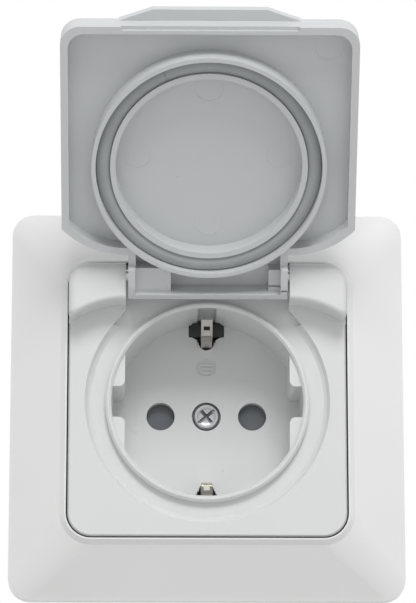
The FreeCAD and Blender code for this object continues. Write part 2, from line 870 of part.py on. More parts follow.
def strip_piece(start, end, half, half_width):
    """Flat length of strip between two points given as y, z."""
    line = V(0, end[0] - start[0], end[1] - start[1])
    side = V(0, -line.z, line.y) * (half / line.Length)
    first = V(-half_width, start[0], start[1])
    second = first + line
    outline = Part.makePolygon([first + side, second + side, second - side, first - side, first + side])
    return Part.Face(outline).extrude(V(2 * half_width, 0, 0))


def terminal_place(index):
    """X and Z of a terminal block: left live, right live, earth."""
    return [(-pin_x, -live_terminal_z), (pin_x, -live_terminal_z), (0.0, terminal_z)][index]


def terminal_block(index):
    """Brass clamp block with its wire hole and screw hole."""
    x, z = terminal_place(index)
    back = terminal_front + terminal_length
    half_x = terminal_width / 2
    half_z = terminal_height / 2
    body = block(x - half_x, x + half_x, terminal_front, back, z - half_z, z + half_z)
    wire = rod_y(wire_hole_radius, terminal_front - over, back + over, x, z)
    middle = terminal_front + terminal_length / 2
    hole_start = z if z > 0 else z - terminal_height
    hole = rod_z(clamp_radius, hole_start, hole_start + terminal_height, x, middle)
    return body.cut([wire, hole])


def terminal_screw(index):
    """Slotted screw that clamps the wire in one terminal."""
    x, z = terminal_place(index)
    y = terminal_front + terminal_length / 2
    top = terminal_height / 2 + terminal_play
    head_end = top + clamp_head_height
    shank = rod_z(clamp_radius - clamp_play, clamp_start, top + slot_depth, x, y)
    head = rod_z(clamp_head_radius, top, head_end, x, y)
    slot = block(x - clamp_head_radius, x + clamp_head_radius, y - slot_width / 2, y + slot_width / 2,
                 head_end - slot_depth, head_end + over)
    screw = shank.fuse(head).cut(slot)
    if z < 0:
        screw = mirror_z(screw)
    screw.translate(V(0, 0, z))
    return screw


def contact_leaf_shape(x, hand):
    """One sprung leaf of a contact, flared at its mouth."""
    mouth = cover_back + contact_start
    inner = contact_gap / 2
    outer = inner + contact_leaf
    outline = [(inner + contact_mouth, mouth), (outer + contact_mouth / 2, mouth),
               (outer, mouth + contact_mouth), (outer, terminal_front), (inner, terminal_front),
               (inner, mouth + contact_mouth)]
    points = [V(x + hand * across, y, -contact_width / 2) for across, y in outline]
    return Part.Face(Part.makePolygon(points + points[:1])).extrude(V(0, 0, contact_width))


def socket_contact(side):
    """Two sprung leaves for one pin, joined behind and led to the terminal."""
    x = side * pin_x
    web_half = contact_gap / 2 + contact_leaf
    web_start = terminal_front - contact_leaf
    half_width = contact_width / 2
    strap_low = -live_terminal_z - terminal_height / 2 + strap_drop
    web = block(x - web_half, x + web_half, web_start, terminal_front, -half_width, half_width)
    strap = block(x - strap_width / 2, x + strap_width / 2, web_start, terminal_front,
                  strap_low, -half_width)
    leaves = [contact_leaf_shape(x, hand) for hand in (-1, 1)]
    return web.fuse(leaves + [strap]).removeSplitter()


def pocket_cutters():
    """Spaces in the base for contacts, terminals and the earth strip."""
    half_x = contact_gap / 2 + contact_leaf + pocket_side_play
    half_z = contact_width / 2 + pocket_width_play
    strap_front = terminal_front - contact_leaf - strap_play
    strap_low = -live_terminal_z - terminal_height / 2 - terminal_play
    cuts = []
    for x in (-pin_x, pin_x):
        cuts.append(block(x - half_x, x + half_x, cover_back - over, pocket_back, -half_z, half_z))
        cuts.append(block(x - half_x, x + half_x, strap_front, pocket_back, strap_low, 0))
    bar_half = earth_bar_width / 2 + terminal_play
    bar_end = earth_arm + earth_thickness + terminal_play
    cuts.append(block(-bar_half, bar_half, cover_back - over, cover_back + earth_thickness + terminal_play,
                      -bar_end, bar_end))
    cuts.append(rod_y(screw_radius + contact_play, cover_back, cover_back + screw_length))
    leg_half = earth_leg_width / 2 + terminal_play
    cuts.append(block(-leg_half, leg_half, cover_back - over, terminal_front,
                      earth_arm - terminal_play, bar_end))
    return cuts + [cut for index in range(3) for cut in terminal_cutters(index)]


def terminal_cutters(index):
    """Pocket of one terminal, open at the back and at its screw."""
    x, z = terminal_place(index)
    half_x = terminal_width / 2 + terminal_play
    half_z = terminal_height / 2 + terminal_play
    pocket = block(x - half_x, x + half_x, base_depth - rear_pocket_depth, base_depth + over,
                   z - half_z, z + half_z)
    low, high = (z, far) if z > 0 else (-far, z)
    return [pocket, rod_z(clamp_access, low, high, x, terminal_front + terminal_length / 2)]


def side_cutters(y_start, flat_start, y_end):
    """Flats above and below the base, and the ways that the claws run in."""
    half = claw_width / 2 + claw_play
    upper = block(-far, far, flat_start, y_end, base_flat, far)
    right = block(claw_flat, far, y_start, y_end, claw_offset - half, claw_offset + half)
    return [upper, mirror_z(upper), right, half_turn(right)]


def socket_base():
    """Housing behind the insert: a collar in front and pockets for the metal parts."""
    cuts = side_cutters(-over, cover_back + base_collar, base_depth + over) + pocket_cutters()
    cuts.append(rod_y(support_hole, -over, cover_back))
    for x, z in rivet_places():
        cuts.append(rod_y(rivet_radius, -over, rivet_depth, x, z))
    for x, z in rear_rivet_places():
        cuts.append(rod_y(rear_rivet_radius, base_depth - rivet_depth, base_depth + over, x, z))
    return rod_y(base_radius, 0, base_depth).cut(cuts)


def rear_cover():
    """Disc that closes the back of the base, with the wire holes."""
    end = base_depth + rear_cover_thickness + over
    cuts = side_cutters(base_depth - over, base_depth - over, end)
    for index in range(3):
        cuts.append(rod_y(wire_hole_radius + wire_hole_play, base_depth - over, end, *terminal_place(index)))
    for x, z in rear_rivet_places():
        cuts.append(rod_y(rear_rivet_radius, base_depth - over, end, x, z))
    return rod_y(base_radius - rear_cover_inset, base_depth, base_depth + rear_cover_thickness).cut(cuts)


def contact_cover():
    """Plate in front of the contacts, with holes for pins, screw and earth clips."""
    start = cover_front - over
    end = cover_back + over
    cuts = [rod_y(boss_radius + cover_hole_play, start, end), shutter_spring()]
    for x in (-pin_x, pin_x):
        cuts.append(rod_y(pin_hole_radius + cover_hole_play, start, end, x))
    half = earth_clip_width / 2 + clip_slot_play
    low = earth_arm - clip_slot_play
    high = earth_arm + earth_thickness + clip_slot_play
    clip = block(-half, half, start, end, low, high)
    return rod_y(support_hole - cover_play, cover_front, cover_back).cut(cuts + [clip, mirror_z(clip)])


def shutter():
    """Turning shutter with a blade behind each pin hole."""
    front = floor_back + shutter_play
    back = front + shutter_thickness
    half = math.radians(shutter_half_angle)
    centre = V(0, front, 0)
    turns = (-half, 0, half)
    tips = [centre + V(math.cos(turn), 0, math.sin(turn)) * shutter_reach for turn in turns]
    outline = Part.Wire([Part.LineSegment(centre, tips[0]).toShape(), Part.Arc(*tips).toShape(),
                         Part.LineSegment(tips[2], centre).toShape()])
    blade = Part.Face(outline).extrude(V(0, shutter_thickness, 0))
    body = rod_y(shutter_hub, front, back).fuse([blade, mirror_x(blade)]).removeSplitter()
    bore = rod_y(boss_radius + shutter_bore_play, front - over, back + over)
    chamber = rod_y(return_radius + return_wire + return_play, front + shutter_web, back + over)
    return body.cut([bore, chamber])


def shutter_spring():
    """Small coil around the boss that turns the shutter back."""
    coil = helix_wire(return_radius, return_wire, return_pitch, return_turns)
    turn = math.radians(return_turns * 360)
    end = V(return_radius * math.cos(turn), return_radius * math.sin(turn), return_pitch * return_turns)
    tang = Part.makeCylinder(return_wire, return_tang, end, V(0, 0, 1))
    spring = coil.fuse(tang.fuse(Part.makeSphere(return_wire, end))).removeSplitter()
    spring.rotate(V(0, 0, 0), V(1, 0, 0), -90)
    spring.translate(V(0, floor_back + shutter_play + shutter_web + return_wire + return_lift, 0))
    return spring


def support_plate():
    """Square steel plate that lies on the wall and carries the base."""
    plate = square_prism(support_half, support_corner, -support_thickness, 0)
    cuts = [rod_y(support_hole, -far, far)]
    for hand in (-1, 1):
        cuts.append(slot_y(slot_length, slot_radius, -far, far, hand * box_screw_x, 0, True))
        cuts.append(slot_y(slot_length, slot_radius, -far, far, 0, hand * box_screw_x, False))
        hole_radius = claw_screw_radius + claw_screw_play
        cuts.append(rod_y(hole_radius, -far, far, hand * claw_screw_x, hand * claw_offset))
    for x, z in rivet_places():
        cuts.append(rod_y(rivet_radius, -far, far, x, z))
    return plate.cut(cuts)


def rivet_places():
    """X and Z of the four rivets through the support plate."""
    radius = (support_hole + base_radius) / 2
    x = radius * math.cos(rivet_angle)
    z = radius * math.sin(rivet_angle)
    return [(x, z), (-x, z), (-x, -z), (x, -z)]


def rear_rivet_places():
    """X and Z of the two rivets through the rear cover."""
    radius = base_radius - rear_rivet_inset
    return [(radius, 0.0), (-radius, 0.0)]


def rivet(radius, head_radius, head_y, stem_end, x, z):
    """Rivet with a flat head at head_y and its stem up to stem_end."""
    start, end = sorted((head_y, stem_end))
    into = 1 if stem_end > head_y else -1
    head_start, head_end = sorted((head_y, head_y + into * rivet_head_height))
    head = rod_y(head_radius, head_start, head_end, x, z)
    return head.fuse(rod_y(radius, start, end, x, z)).removeSplitter()


def base_rivets():
    """Rivets that join the support plate to the base."""
    head_y = -support_thickness - rivet_head_height
    return Part.makeCompound([
        rivet(rivet_radius, rivet_head_radius, head_y, rivet_depth, x, z) for x, z in rivet_places()])


def rear_rivets():
    """Rivets that hold the rear cover."""
    head_y = base_depth + rear_cover_thickness + rivet_head_height
    stem_end = base_depth - rivet_depth
    return Part.makeCompound([
        rivet(rear_rivet_radius, rear_rivet_head, head_y, stem_end, x, z) for x, z in rear_rivet_places()])


def claw():
    """Right-hand claw: a bent strip with a tab at the screw and teeth at its end."""
    inner = claw_leg_x
    outer = inner + claw_thickness
    low = claw_offset - claw_width / 2
    high = claw_offset + claw_width / 2
    end = claw_start + claw_length
    tab_back = claw_start + claw_thickness
    outline = [(inner, claw_start), (outer + claw_tab, claw_start), (outer + claw_tab, tab_back),
               (outer, tab_back), (outer, end - claw_thickness), (outer + claw_tip, end),
               (outer + claw_tip - claw_bevel, end + claw_thickness), (inner, end + claw_bevel)]
    points = [V(x, y, low) for x, y in outline]
    body = Part.Face(Part.makePolygon(points + points[:1])).extrude(V(0, 0, claw_width))
    cuts = []
    for step in (-1, 0, 1):
        z = claw_offset + step * claw_width / 3
        cuts.append(block(outer + claw_tip / 2, far, end - claw_tip, end + claw_tip,
                          z - claw_gap / 2, z + claw_gap / 2))
    hole_length = 2 * (claw_hole_radius + claw_hole_travel)
    cuts.append(slot_y(hole_length, claw_hole_radius, claw_start - over, tab_back + over,
                       claw_screw_x, claw_offset, True))
    slot_half = claw_screw_radius + claw_play
    slot_start = claw_start + claw_slot_start
    cuts.append(block(inner - over, outer + over, slot_start, slot_start + claw_slot_length,
                      claw_offset - slot_half, claw_offset + slot_half))
    return body.cut(cuts)


def claw_screw():
    """Right-hand screw that draws the claw forward."""
    top = -support_thickness - claw_head_height
    head = rod_y(claw_head_radius, top, -support_thickness, claw_screw_x, claw_offset)
    shank = rod_y(claw_screw_radius, top, claw_screw_length, claw_screw_x, claw_offset)
    half = slot_width / 2
    slot = block(claw_screw_x - claw_head_radius, claw_screw_x + claw_head_radius, top - over,
                 top + slot_depth, claw_offset - half, claw_offset + half)
    return head.fuse(shank).removeSplitter().cut(slot)


def half_turn(shape):
    """The same shape turned half round the centre line."""
    turned = shape.copy()
    turned.rotate(V(0, 0, 0), V(0, 1, 0), 180)
    return turned


def build():
    """All pieces by name."""
    return {
        "cover_frame": cover_frame(),
        "wall_gasket": wall_gasket(),
        "insert_gasket": insert_gasket(),
        "socket_insert": socket_insert(),
        "hinged_lid": open_lid(hinged_lid()),
        "lid_seal": open_lid(lid_seal()),
        "lid_spring": open_lid(lid_spring()),
        "hinge_pin_left": hinge_pin(-1),
        "hinge_pin_right": hinge_pin(1),
        "centre_screw": centre_screw(),
        "earth_strip": earth_strip(),
        "contact_left": socket_contact(-1),
        "contact_right": socket_contact(1),
        "terminal_left": terminal_block(0),
        "terminal_right": terminal_block(1),
        "terminal_earth": terminal_block(2),
        "terminal_screws": Part.makeCompound([terminal_screw(index) for index in range(3)]),
        "socket_base": socket_base(),
        "rear_cover": rear_cover(),
        "rear_rivets": rear_rivets(),
        "contact_cover": contact_cover(),
        "shutter": shutter(),
        "shutter_spring": shutter_spring(),
        "support_plate": support_plate(),
        "base_rivets": base_rivets(),
        "claw_right": claw(),
        "claw_left": half_turn(claw()),
        "claw_screw_right": claw_screw(),
        "claw_screw_left": half_turn(claw_screw()),
    }


os.makedirs("parts", exist_ok=True)
for name, shape in build().items():
    shape.exportStep("parts/" + name + ".step")
    box = shape.BoundBox
    print(name, "solids", len(shape.Solids), "valid", shape.isValid(), "volume", round(shape.Volume, 1),
          "x", round(box.XMin, 2), round(box.XMax, 2), "y", round(box.YMin, 2), round(box.YMax, 2),
          "z", round(box.ZMin, 2), round(box.ZMax, 2))
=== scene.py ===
"""Looks of an outdoor wall socket whose hinged lid stands open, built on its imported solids."""
import json
import logging
import math
from dataclasses import dataclass, field, replace
from enum import Enum
from typing import Any, Iterable, Optional, Union

import bmesh
import bpy
import numpy as np
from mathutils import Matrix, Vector


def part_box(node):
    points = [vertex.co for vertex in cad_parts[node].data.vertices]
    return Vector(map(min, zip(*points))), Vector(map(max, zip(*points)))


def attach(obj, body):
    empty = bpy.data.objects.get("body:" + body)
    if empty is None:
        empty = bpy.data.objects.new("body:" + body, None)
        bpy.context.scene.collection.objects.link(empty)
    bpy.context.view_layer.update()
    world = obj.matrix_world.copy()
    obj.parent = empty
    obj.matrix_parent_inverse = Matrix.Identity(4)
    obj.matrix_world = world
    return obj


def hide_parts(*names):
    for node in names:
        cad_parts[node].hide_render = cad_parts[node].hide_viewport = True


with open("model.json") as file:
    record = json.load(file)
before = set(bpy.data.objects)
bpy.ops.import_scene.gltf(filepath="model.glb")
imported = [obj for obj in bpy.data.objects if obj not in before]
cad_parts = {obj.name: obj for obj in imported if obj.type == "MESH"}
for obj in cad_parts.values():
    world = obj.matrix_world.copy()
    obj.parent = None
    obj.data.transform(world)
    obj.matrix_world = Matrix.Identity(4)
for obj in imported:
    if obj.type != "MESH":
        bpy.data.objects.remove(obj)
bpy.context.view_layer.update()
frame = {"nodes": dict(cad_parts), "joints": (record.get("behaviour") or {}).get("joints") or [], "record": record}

MM = 0.001
FULL_TURN = 2 * math.pi
MERGE_DISTANCE = 1e-7
SHARP_ANGLE = math.radians(40)
log = logging.getLogger("wall_socket")

Number = Union[int, float]
Colour = tuple[float, float, float]


class Body(str, Enum):
    """Rigid bodies that pieces ride on."""

    HOUSING = "housing"
    LID = "lid"


class Grain(Enum):
    """How a moulded surface was left by its tool."""

    SATIN = 0.6
    SPARKED = 1.0


class Clip(Enum):
    """The well's two earth clips, each with the sign of its height."""

    UPPER = 1
    LOWER = -1


# Shader expressions


class Term:
    """A shader socket that takes part in arithmetic."""

    def __init__(self, sheet: "NodeSheet", socket: bpy.types.NodeSocket) -> None:
        """Wrap one output socket of a sheet's nodes."""
        self.sheet = sheet
        self.socket = socket

    def _maths(self, operation: str, *values: Any) -> "Term":
        """Add one Math node.

        Args:
            operation: the node's operation.
            values: terms or numbers for its inputs, in order.

        Returns:
            The node's result.
        """
        inputs = dict(enumerate(values))
        return self.sheet.node("ShaderNodeMath", {"operation": operation}, inputs)

    def __add__(self, other: Any) -> "Term":
        """Sum."""
        return self._maths("ADD", self, other)

    def __radd__(self, other: Any) -> "Term":
        """Sum with a number in front."""
        return self._maths("ADD", other, self)

    def __sub__(self, other: Any) -> "Term":
        """Difference."""
        return self._maths("SUBTRACT", self, other)

    def __rsub__(self, other: Any) -> "Term":
        """Difference with a number in front."""
        return self._maths("SUBTRACT", other, self)

    def __mul__(self, other: Any) -> "Term":
        """Product."""
        return self._maths("MULTIPLY", self, other)

    def __rmul__(self, other: Any) -> "Term":
        """Product with a number in front."""
        return self._maths("MULTIPLY", other, self)

    def most(self, other: Any) -> "Term":
        """The larger of two values."""
        return self._maths("MAXIMUM", self, other)

    def ramp(self, low: Number, high: Number) -> "Term":
        """Rise smoothly from 0 at low to 1 at high.

        Args:
            low: value where the result is 0.
            high: value where the result is 1.

        Returns:
            The smoothed step.
        """
        settings = {"interpolation_type": "SMOOTHSTEP"}
        inputs = {"Value": self, "From Min": low, "From Max": high}
        return self.sheet.node("ShaderNodeMapRange", settings, inputs)


class NodeSheet:
    """Nodes of one material or world."""

    def __init__(self, owner: Union[bpy.types.Material, bpy.types.World]) -> None:
        """Switch the owner's nodes on."""
        owner.use_nodes = True
        self.tree = owner.node_tree

    def find(self, kind: str) -> bpy.types.Node:
        """The node of a type that the sheet starts with."""
        return next(node for node in self.tree.nodes if node.type == kind)

    def node(self, kind: str, settings: Optional[dict] = None, inputs: Optional[dict] = None,
             output: Union[int, str] = 0) -> Term:
        """Add a node, set it up and feed its sockets.

        Args:
            kind: the node's type.
            settings: properties to set before the sockets are fed.
            inputs: values, terms or colours by socket name or number.
            output: which output to return.

        Returns:
            The chosen output as a term.
        """
        made = self.tree.nodes.new(kind)
        for key, value in (settings or {}).items():
            setattr(made, key, value)
        for key, value in (inputs or {}).items():
            self.feed(made.inputs[key], value)
        return Term(self, made.outputs[output])

    def feed(self, socket: bpy.types.NodeSocket, value: Any) -> None:
        """Link a term to a socket, or set the socket's own value.

        Args:
            socket: an input socket.
            value: a term, a number, a vector, or a colour without its alpha.
        """
        if isinstance(value, Term):
            self.tree.links.new(value.socket, socket)
            return
        if isinstance(value, tuple) and len(value) == 3 and socket.type == "RGBA":
            value = (*value, 1.0)
        socket.default_value = value

    def seen(self) -> Term:
        """Tell the rays that show things from the rays that light them.

        Returns:
            1 for rays from the camera, a mirror or glass, and 0 for all others.
        """
        camera, mirror, glass = (self.node("ShaderNodeLightPath", output=f"Is {kind} Ray")
                                 for kind in ("Camera", "Glossy", "Transmission"))
        return camera.most(mirror).most(glass)


class ShaderSheet(NodeSheet):
    """One material's nodes, with a principled shader at their end."""

    def __init__(self, name: str) -> None:
        """Start a material.

        Args:
            name: the material's name.
        """
        self.material = bpy.data.materials.new(name)
        super().__init__(self.material)
        self.shader = self.find("BSDF_PRINCIPLED")

    def place(self) -> Term:
        """Position on the piece, in metres in the object's own frame."""
        return self.node("ShaderNodeTexCoord", output="Object")

    def noise(self, scale: Number, detail: Number, stretch: Optional[tuple] = None) -> Term:
        """Noise over the piece.

        Args:
            scale: cells per metre.
            detail: octaves.
            stretch: scale along each axis, for drawn or rolled grain.

        Returns:
            The noise, about 0.5 on average.
        """
        place = self.place()
        if stretch is not None:
            place = self.node("ShaderNodeMapping", {}, {"Vector": place, "Scale": stretch})
        inputs = {"Vector": place, "Scale": scale, "Detail": detail}
        return self.node("ShaderNodeTexNoise", {}, inputs)

    def cells(self, scale: Number) -> Term:
        """Distance to the nearest of the points scattered over the piece.

        Args:
            scale: points per metre.

        Returns:
            The distance, in cells.
        """
        inputs = {"Vector": self.place(), "Scale": scale}
        return self.node("ShaderNodeTexVoronoi", {"feature": "F1"}, inputs)

    def blend(self, share: Any, first: Any, second: Any) -> Term:
        """Mix two colours with a Mix node, whose colour sockets have the numbers 6 and 7.

        Args:
            share: how much of the second shows, from 0 to 1.
            first: colour or term where share is 0.
            second: colour or term where share is 1.

        Returns:
            The mixed colour.
        """
        return self.node("ShaderNodeMix", {"data_type": "RGBA"}, {0: share, 6: first, 7: second}, 2)

    def finish(self, values: dict, height: Optional[Term] = None,
               depth: Number = 0.0) -> bpy.types.Material:
        """Feed the shader and return its material.

        Args:
            values: shader sockets and what they take.
            height: relief of the surface, if it has any.
            depth: the relief's height in metres where height is 1.

        Returns:
            The finished material.
        """
        for key, value in values.items():
            self.feed(self.shader.inputs[key], value)
        if height is not None:
            relief = {"Height": height, "Distance": depth, "Strength": 1.0}
            self.feed(self.shader.inputs["Normal"], self.node("ShaderNodeBump", {}, relief))
        return self.material


# Finishes: a noise is given as cells per metre and octaves, a scale as cells per metre, and an
# edge as the values between which a mask rises from 0 to 1


def shade(colour: Colour, factor: Number) -> Colour:
    """A colour made lighter or darker by a factor."""
    return tuple(min(1.0, channel * factor) for channel in colour)


@dataclass(frozen=True)
class MouldedPlastic:
    """Injection moulded plastic with faint flow marks, specks of dust and a fine skin."""

    name: str
    colour: Colour
    roughness: float
    grain: Grain = Grain.SATIN
    refraction: float = 1.5
    gloss: float = 0.45
    flow_noise: tuple = (38.0, 2.0)
    flow_shades: tuple = (0.965, 1.02)
    cloud_noise: tuple = (240.0, 3.0)
    cloud_relief: float = 0.4
    roughness_swing: float = 0.1
    speck_colour: Colour = (0.42, 0.40, 0.37)
    speck_share: float = 0.35
    speck_scale: float = 170.0
    speck_edge: tuple = (0.02, 0.07)
    dusty_noise: tuple = (95.0, 1.0)
    dusty_edge: tuple = (0.66, 0.72)
    skin_noise: tuple = (2600.0, 2.0)
    skin_depth: float = 0.012 * MM

    def material(self) -> bpy.types.Material:
        """Build the finish.

        Returns:
            Its material.
        """
        sheet = ShaderSheet(self.name)
        pale, deep = (shade(self.colour, factor) for factor in self.flow_shades)
        cloud = sheet.noise(*self.cloud_noise)
        tint = sheet.blend(sheet.noise(*self.flow_noise), pale, deep)
        dusty = sheet.noise(*self.dusty_noise).ramp(*self.dusty_edge)
        speck = 1 - sheet.cells(self.speck_scale).ramp(*self.speck_edge)
        colour = sheet.blend(speck * dusty * self.speck_share, tint, self.speck_colour)
        rough = self.roughness - self.roughness_swing / 2 + self.roughness_swing * cloud
        skin = sheet.noise(*self.skin_noise) * self.grain.value + cloud * self.cloud_relief
        values = {"Base Color": colour, "Roughness": rough, "IOR": self.refraction,
                  "Specular IOR Level": self.gloss}
        return sheet.finish(values, skin, self.skin_depth)


@dataclass(frozen=True)
class SoftRubber:
    """Matt rubber, or foam where it has cells, with the dull patches that handling leaves."""

    name: str
    colour: Colour
    roughness: float
    cell: float = 0.0
    refraction: float = 1.5
    patch_noise: tuple = (160.0, 4.0)
    patch_shades: tuple = (0.88, 1.14)
    roughness_swing: float = 0.16
    fine_noise: tuple = (3200.0, 3.0)
    fine_depth: float = 0.01 * MM
    fine_between_pores: float = 0.3
    pore_depth: float = 0.03 * MM

    def material(self) -> bpy.types.Material:
        """Build the finish.

        Returns:
            Its material.
        """
        sheet = ShaderSheet(self.name)
        patch = sheet.noise(*self.patch_noise)
        colour = sheet.blend(patch, *(shade(self.colour, factor) for factor in self.patch_shades))
        rough = self.roughness - self.roughness_swing / 2 + self.roughness_swing * patch
        relief, depth = sheet.noise(*self.fine_noise), self.fine_depth
        if self.cell:
            relief = relief * self.fine_between_pores + sheet.cells(self.cell)
            depth = self.pore_depth
        values = {"Base Color": colour, "Roughness": rough, "IOR": self.refraction}
        return sheet.finish(values, relief, depth)


@dataclass(frozen=True)
class WorkedMetal:
    """Plated or bare metal with drawn or rolled grain, darkened between two depths as painted shade of its
    recesses.
    """

    name: str
    colour: Colour
    roughness: float
    grain: tuple = (1.0, 1.0, 1.0)
    stain: Colour = (0.45, 0.42, 0.36)
    stain_share: float = 0.25
    sunk: Optional[tuple] = None
    sunk_shade: float = 0.25
    rolled_noise: tuple = (900.0, 4.0)
    rolled_shades: tuple = (0.9, 1.08)
    rolled_roughness: float = 0.14
    rolled_depth: float = 0.006 * MM
    dull_noise: tuple = (210.0, 3.0)
    dull_edge: tuple = (0.5, 0.75)
    dull_roughness: float = 0.12
    polish: float = 0.08

    def material(self) -> bpy.types.Material:
        """Build the finish.

        Returns:
            Its material.
        """
        sheet = ShaderSheet(self.name)
        rolled = sheet.noise(*self.rolled_noise, self.grain)
        base = sheet.blend(rolled, *(shade(self.colour, factor) for factor in self.rolled_shades))
        dull = sheet.noise(*self.dull_noise).ramp(*self.dull_edge)
        colour = sheet.blend(dull * self.stain_share, base, self.stain)
        # painted shade: between the two sunk depths the colour darkens towards the sunk shade, as if the recess
        # lay in shadow
        if self.sunk:
            depth = sheet.node("ShaderNodeSeparateXYZ", {}, {"Vector": sheet.place()}, "Y")
            painted_shade = shade(self.colour, self.sunk_shade)
            colour = sheet.blend(depth.ramp(*self.sunk), colour, painted_shade)
        worn = self.rolled_roughness * rolled + self.dull_roughness * dull
        values = {"Base Color": colour, "Roughness": self.roughness + worn - self.polish,
                  "Metallic": 1.0}
        return sheet.finish(values, rolled, self.rolled_depth)


DRAWN_ALONG_X = (0.1, 1.0, 1.0)
ROLLED_ALONG_Y = (1.0, 0.2, 1.0)
CUT_ALONG_Y = (1.0, 0.3, 1.0)
ROLLED_ALONG_Z = (1.0, 1.0, 0.12)
BLACK = (0.05, 0.05, 0.052)
FINISHES = {finish.name: finish for finish in (
    MouldedPlastic("frame_plastic", (0.80, 0.803, 0.798), 0.34),
    MouldedPlastic("insert_plastic", (0.70, 0.71, 0.71), 0.3),
    MouldedPlastic("lid_plastic", (0.612, 0.629, 0.637), 0.34),
    MouldedPlastic("base_plastic", BLACK, 0.5, Grain.SPARKED),
    MouldedPlastic("cover_plastic", (0.30, 0.30, 0.30), 0.5, Grain.SPARKED),
    # the shutter's own colour is a mid grey; it is set darker here as painted shade of the pin holes it sits in
    MouldedPlastic("shutter_plastic", (0.135, 0.15, 0.165), 0.42),
    SoftRubber("grey_rubber", (0.36, 0.38, 0.387), 0.62),
    SoftRubber("black_rubber", (0.018, 0.018, 0.018), 0.7),
    SoftRubber("foam", BLACK, 0.9, 2200.0),
    WorkedMetal("spring_steel", (0.50, 0.49, 0.47), 0.3),
    WorkedMetal("pin_steel", (0.60, 0.60, 0.59), 0.22, DRAWN_ALONG_X),
    WorkedMetal("zinc_screw", (0.56, 0.58, 0.60), 0.36),
    WorkedMetal("plated_strip", (0.58, 0.56, 0.51), 0.3, ROLLED_ALONG_Y),
    WorkedMetal("contact_brass", (0.72, 0.52, 0.24), 0.3, ROLLED_ALONG_Y, (0.36, 0.24, 0.12)),
    WorkedMetal("terminal_brass", (0.70, 0.50, 0.22), 0.34, CUT_ALONG_Y, (0.34, 0.22, 0.1)),
    WorkedMetal("rivet_steel", (0.56, 0.56, 0.55), 0.35),
    WorkedMetal("zinc_steel", (0.55, 0.56, 0.57), 0.36, ROLLED_ALONG_Z, (0.42, 0.40, 0.33)),
)}
_made: dict[str, bpy.types.Material] = {}


def finish_of(slot: str) -> bpy.types.Material:
    """Give a record slot's material, which is made once.

    Args:
        slot: the slot's name.

    Returns:
        The material.
    """
    if slot not in _made:
        _made[slot] = FINISHES[slot].material()
    return _made[slot]


# Surfaces


def grid_faces(rows: int, columns: int, wrap_rows: bool, wrap_columns: bool) -> np.ndarray:
    """Quads between the points of a grid.

    Point (i, j) has number i * columns + j, and each quad joins (i, j), (i + 1, j), (i + 1, j + 1)
    and (i, j + 1), with the last row or column joined to the first where it wraps.

    Args:
        rows: points along the first parameter.
        columns: points along the second.
        wrap_rows: whether the first parameter closes on itself.
        wrap_columns: whether the second does.

    Returns:
        One row of four point numbers per quad.
    """
    i = np.arange(rows if wrap_rows else rows - 1)[:, None]
    j = np.arange(columns if wrap_columns else columns - 1)[None, :]
    below = (i + 1) % rows
    beside = (j + 1) % columns
    corners = [i * columns + j, below * columns + j, below * columns + beside, i * columns + beside]
    return np.stack([np.broadcast_to(c, (i.size, j.size)).ravel() for c in corners], axis=1)


@dataclass
class Surface:
    """A grid of points that becomes one closed mesh."""

    points: np.ndarray
    wrap_rows: bool = False
    capped: bool = True

    def piece(self, name: str, slot: str, body: Body) -> bpy.types.Object:
        """Make the mesh object, dress it and let it ride.

        Args:
            name: the piece's name.
            slot: record slot that it takes its finish from.
            body: what it moves with.

        Returns:
            The object, at the origin.
        """
        rows, columns, _ = self.points.shape
        faces = grid_faces(rows, columns, self.wrap_rows, True).tolist()
        if self.capped and not self.wrap_rows:
            faces.append(list(range(columns))[::-1])
            faces.append(list(range((rows - 1) * columns, rows * columns)))
        mesh = bpy.data.meshes.new(name)
        mesh.from_pydata(self.points.reshape(-1, 3).tolist(), [], faces)
        return finish_piece(mesh, name, slot, body)


def finish_piece(mesh: bpy.types.Mesh, name: str, slot: str, body: Body) -> bpy.types.Object:
    """Merge doubles, turn the faces outwards and put the piece in the scene.

    Args:
        mesh: its mesh, with its place in its points.
        name: the piece's name.
        slot: record slot that it takes its finish from.
        body: what it moves with.

    Returns:
        The object.
    """
    work = bmesh.new()
    work.from_mesh(mesh)
    bmesh.ops.remove_doubles(work, verts=work.verts, dist=MERGE_DISTANCE)
    bmesh.ops.recalc_face_normals(work, faces=work.faces)
    work.to_mesh(mesh)
    work.free()
    mesh.shade_smooth()
    mesh.set_sharp_from_angle(angle=SHARP_ANGLE)
    mesh.materials.append(finish_of(slot))
    made = bpy.data.objects.new(name, mesh)
    bpy.context.scene.collection.objects.link(made)
    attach(made, body.value)
    log.info("%s: %d faces on %s", name, len(mesh.polygons), body.value)
    return made


def sweep(path: np.ndarray, side: np.ndarray, profile: np.ndarray) -> np.ndarray:
    """Carry a profile along a path.

    At each point of the path the profile's first number is measured along the given side
    direction and its second along the cross product of the path's tangent with that side.

    Args:
        path: n by 3 points.
        side: n by 3 unit vectors square to the path.
        profile: m by 2 points of a closed outline.

    Returns:
        n by m by 3 points.
    """
    tangent = np.gradient(path, axis=0)
    tangent /= np.linalg.norm(tangent, axis=1, keepdims=True)
    lift = np.cross(tangent, side)
    lift /= np.linalg.norm(lift, axis=1, keepdims=True)
    across = profile[None, :, 0, None] * side[:, None, :]
    upward = profile[None, :, 1, None] * lift[:, None, :]
    return path[:, None, :] + across + upward


def even_turn(steps: int) -> np.ndarray:
    """Angles that divide a full turn evenly, without its end."""
    return np.linspace(0, FULL_TURN, steps, endpoint=False)


def round_profile(radius: Number, steps: int) -> np.ndarray:
    """Circle of that radius: radius times cosine and sine of an even turn."""
    turn = even_turn(steps)
    return radius * np.stack([np.cos(turn), np.sin(turn)], axis=1)


def signed_power(value: np.ndarray, power: Number) -> np.ndarray:
    """Sign of a value times its size to a power."""
    return np.sign(value) * np.abs(value) ** power


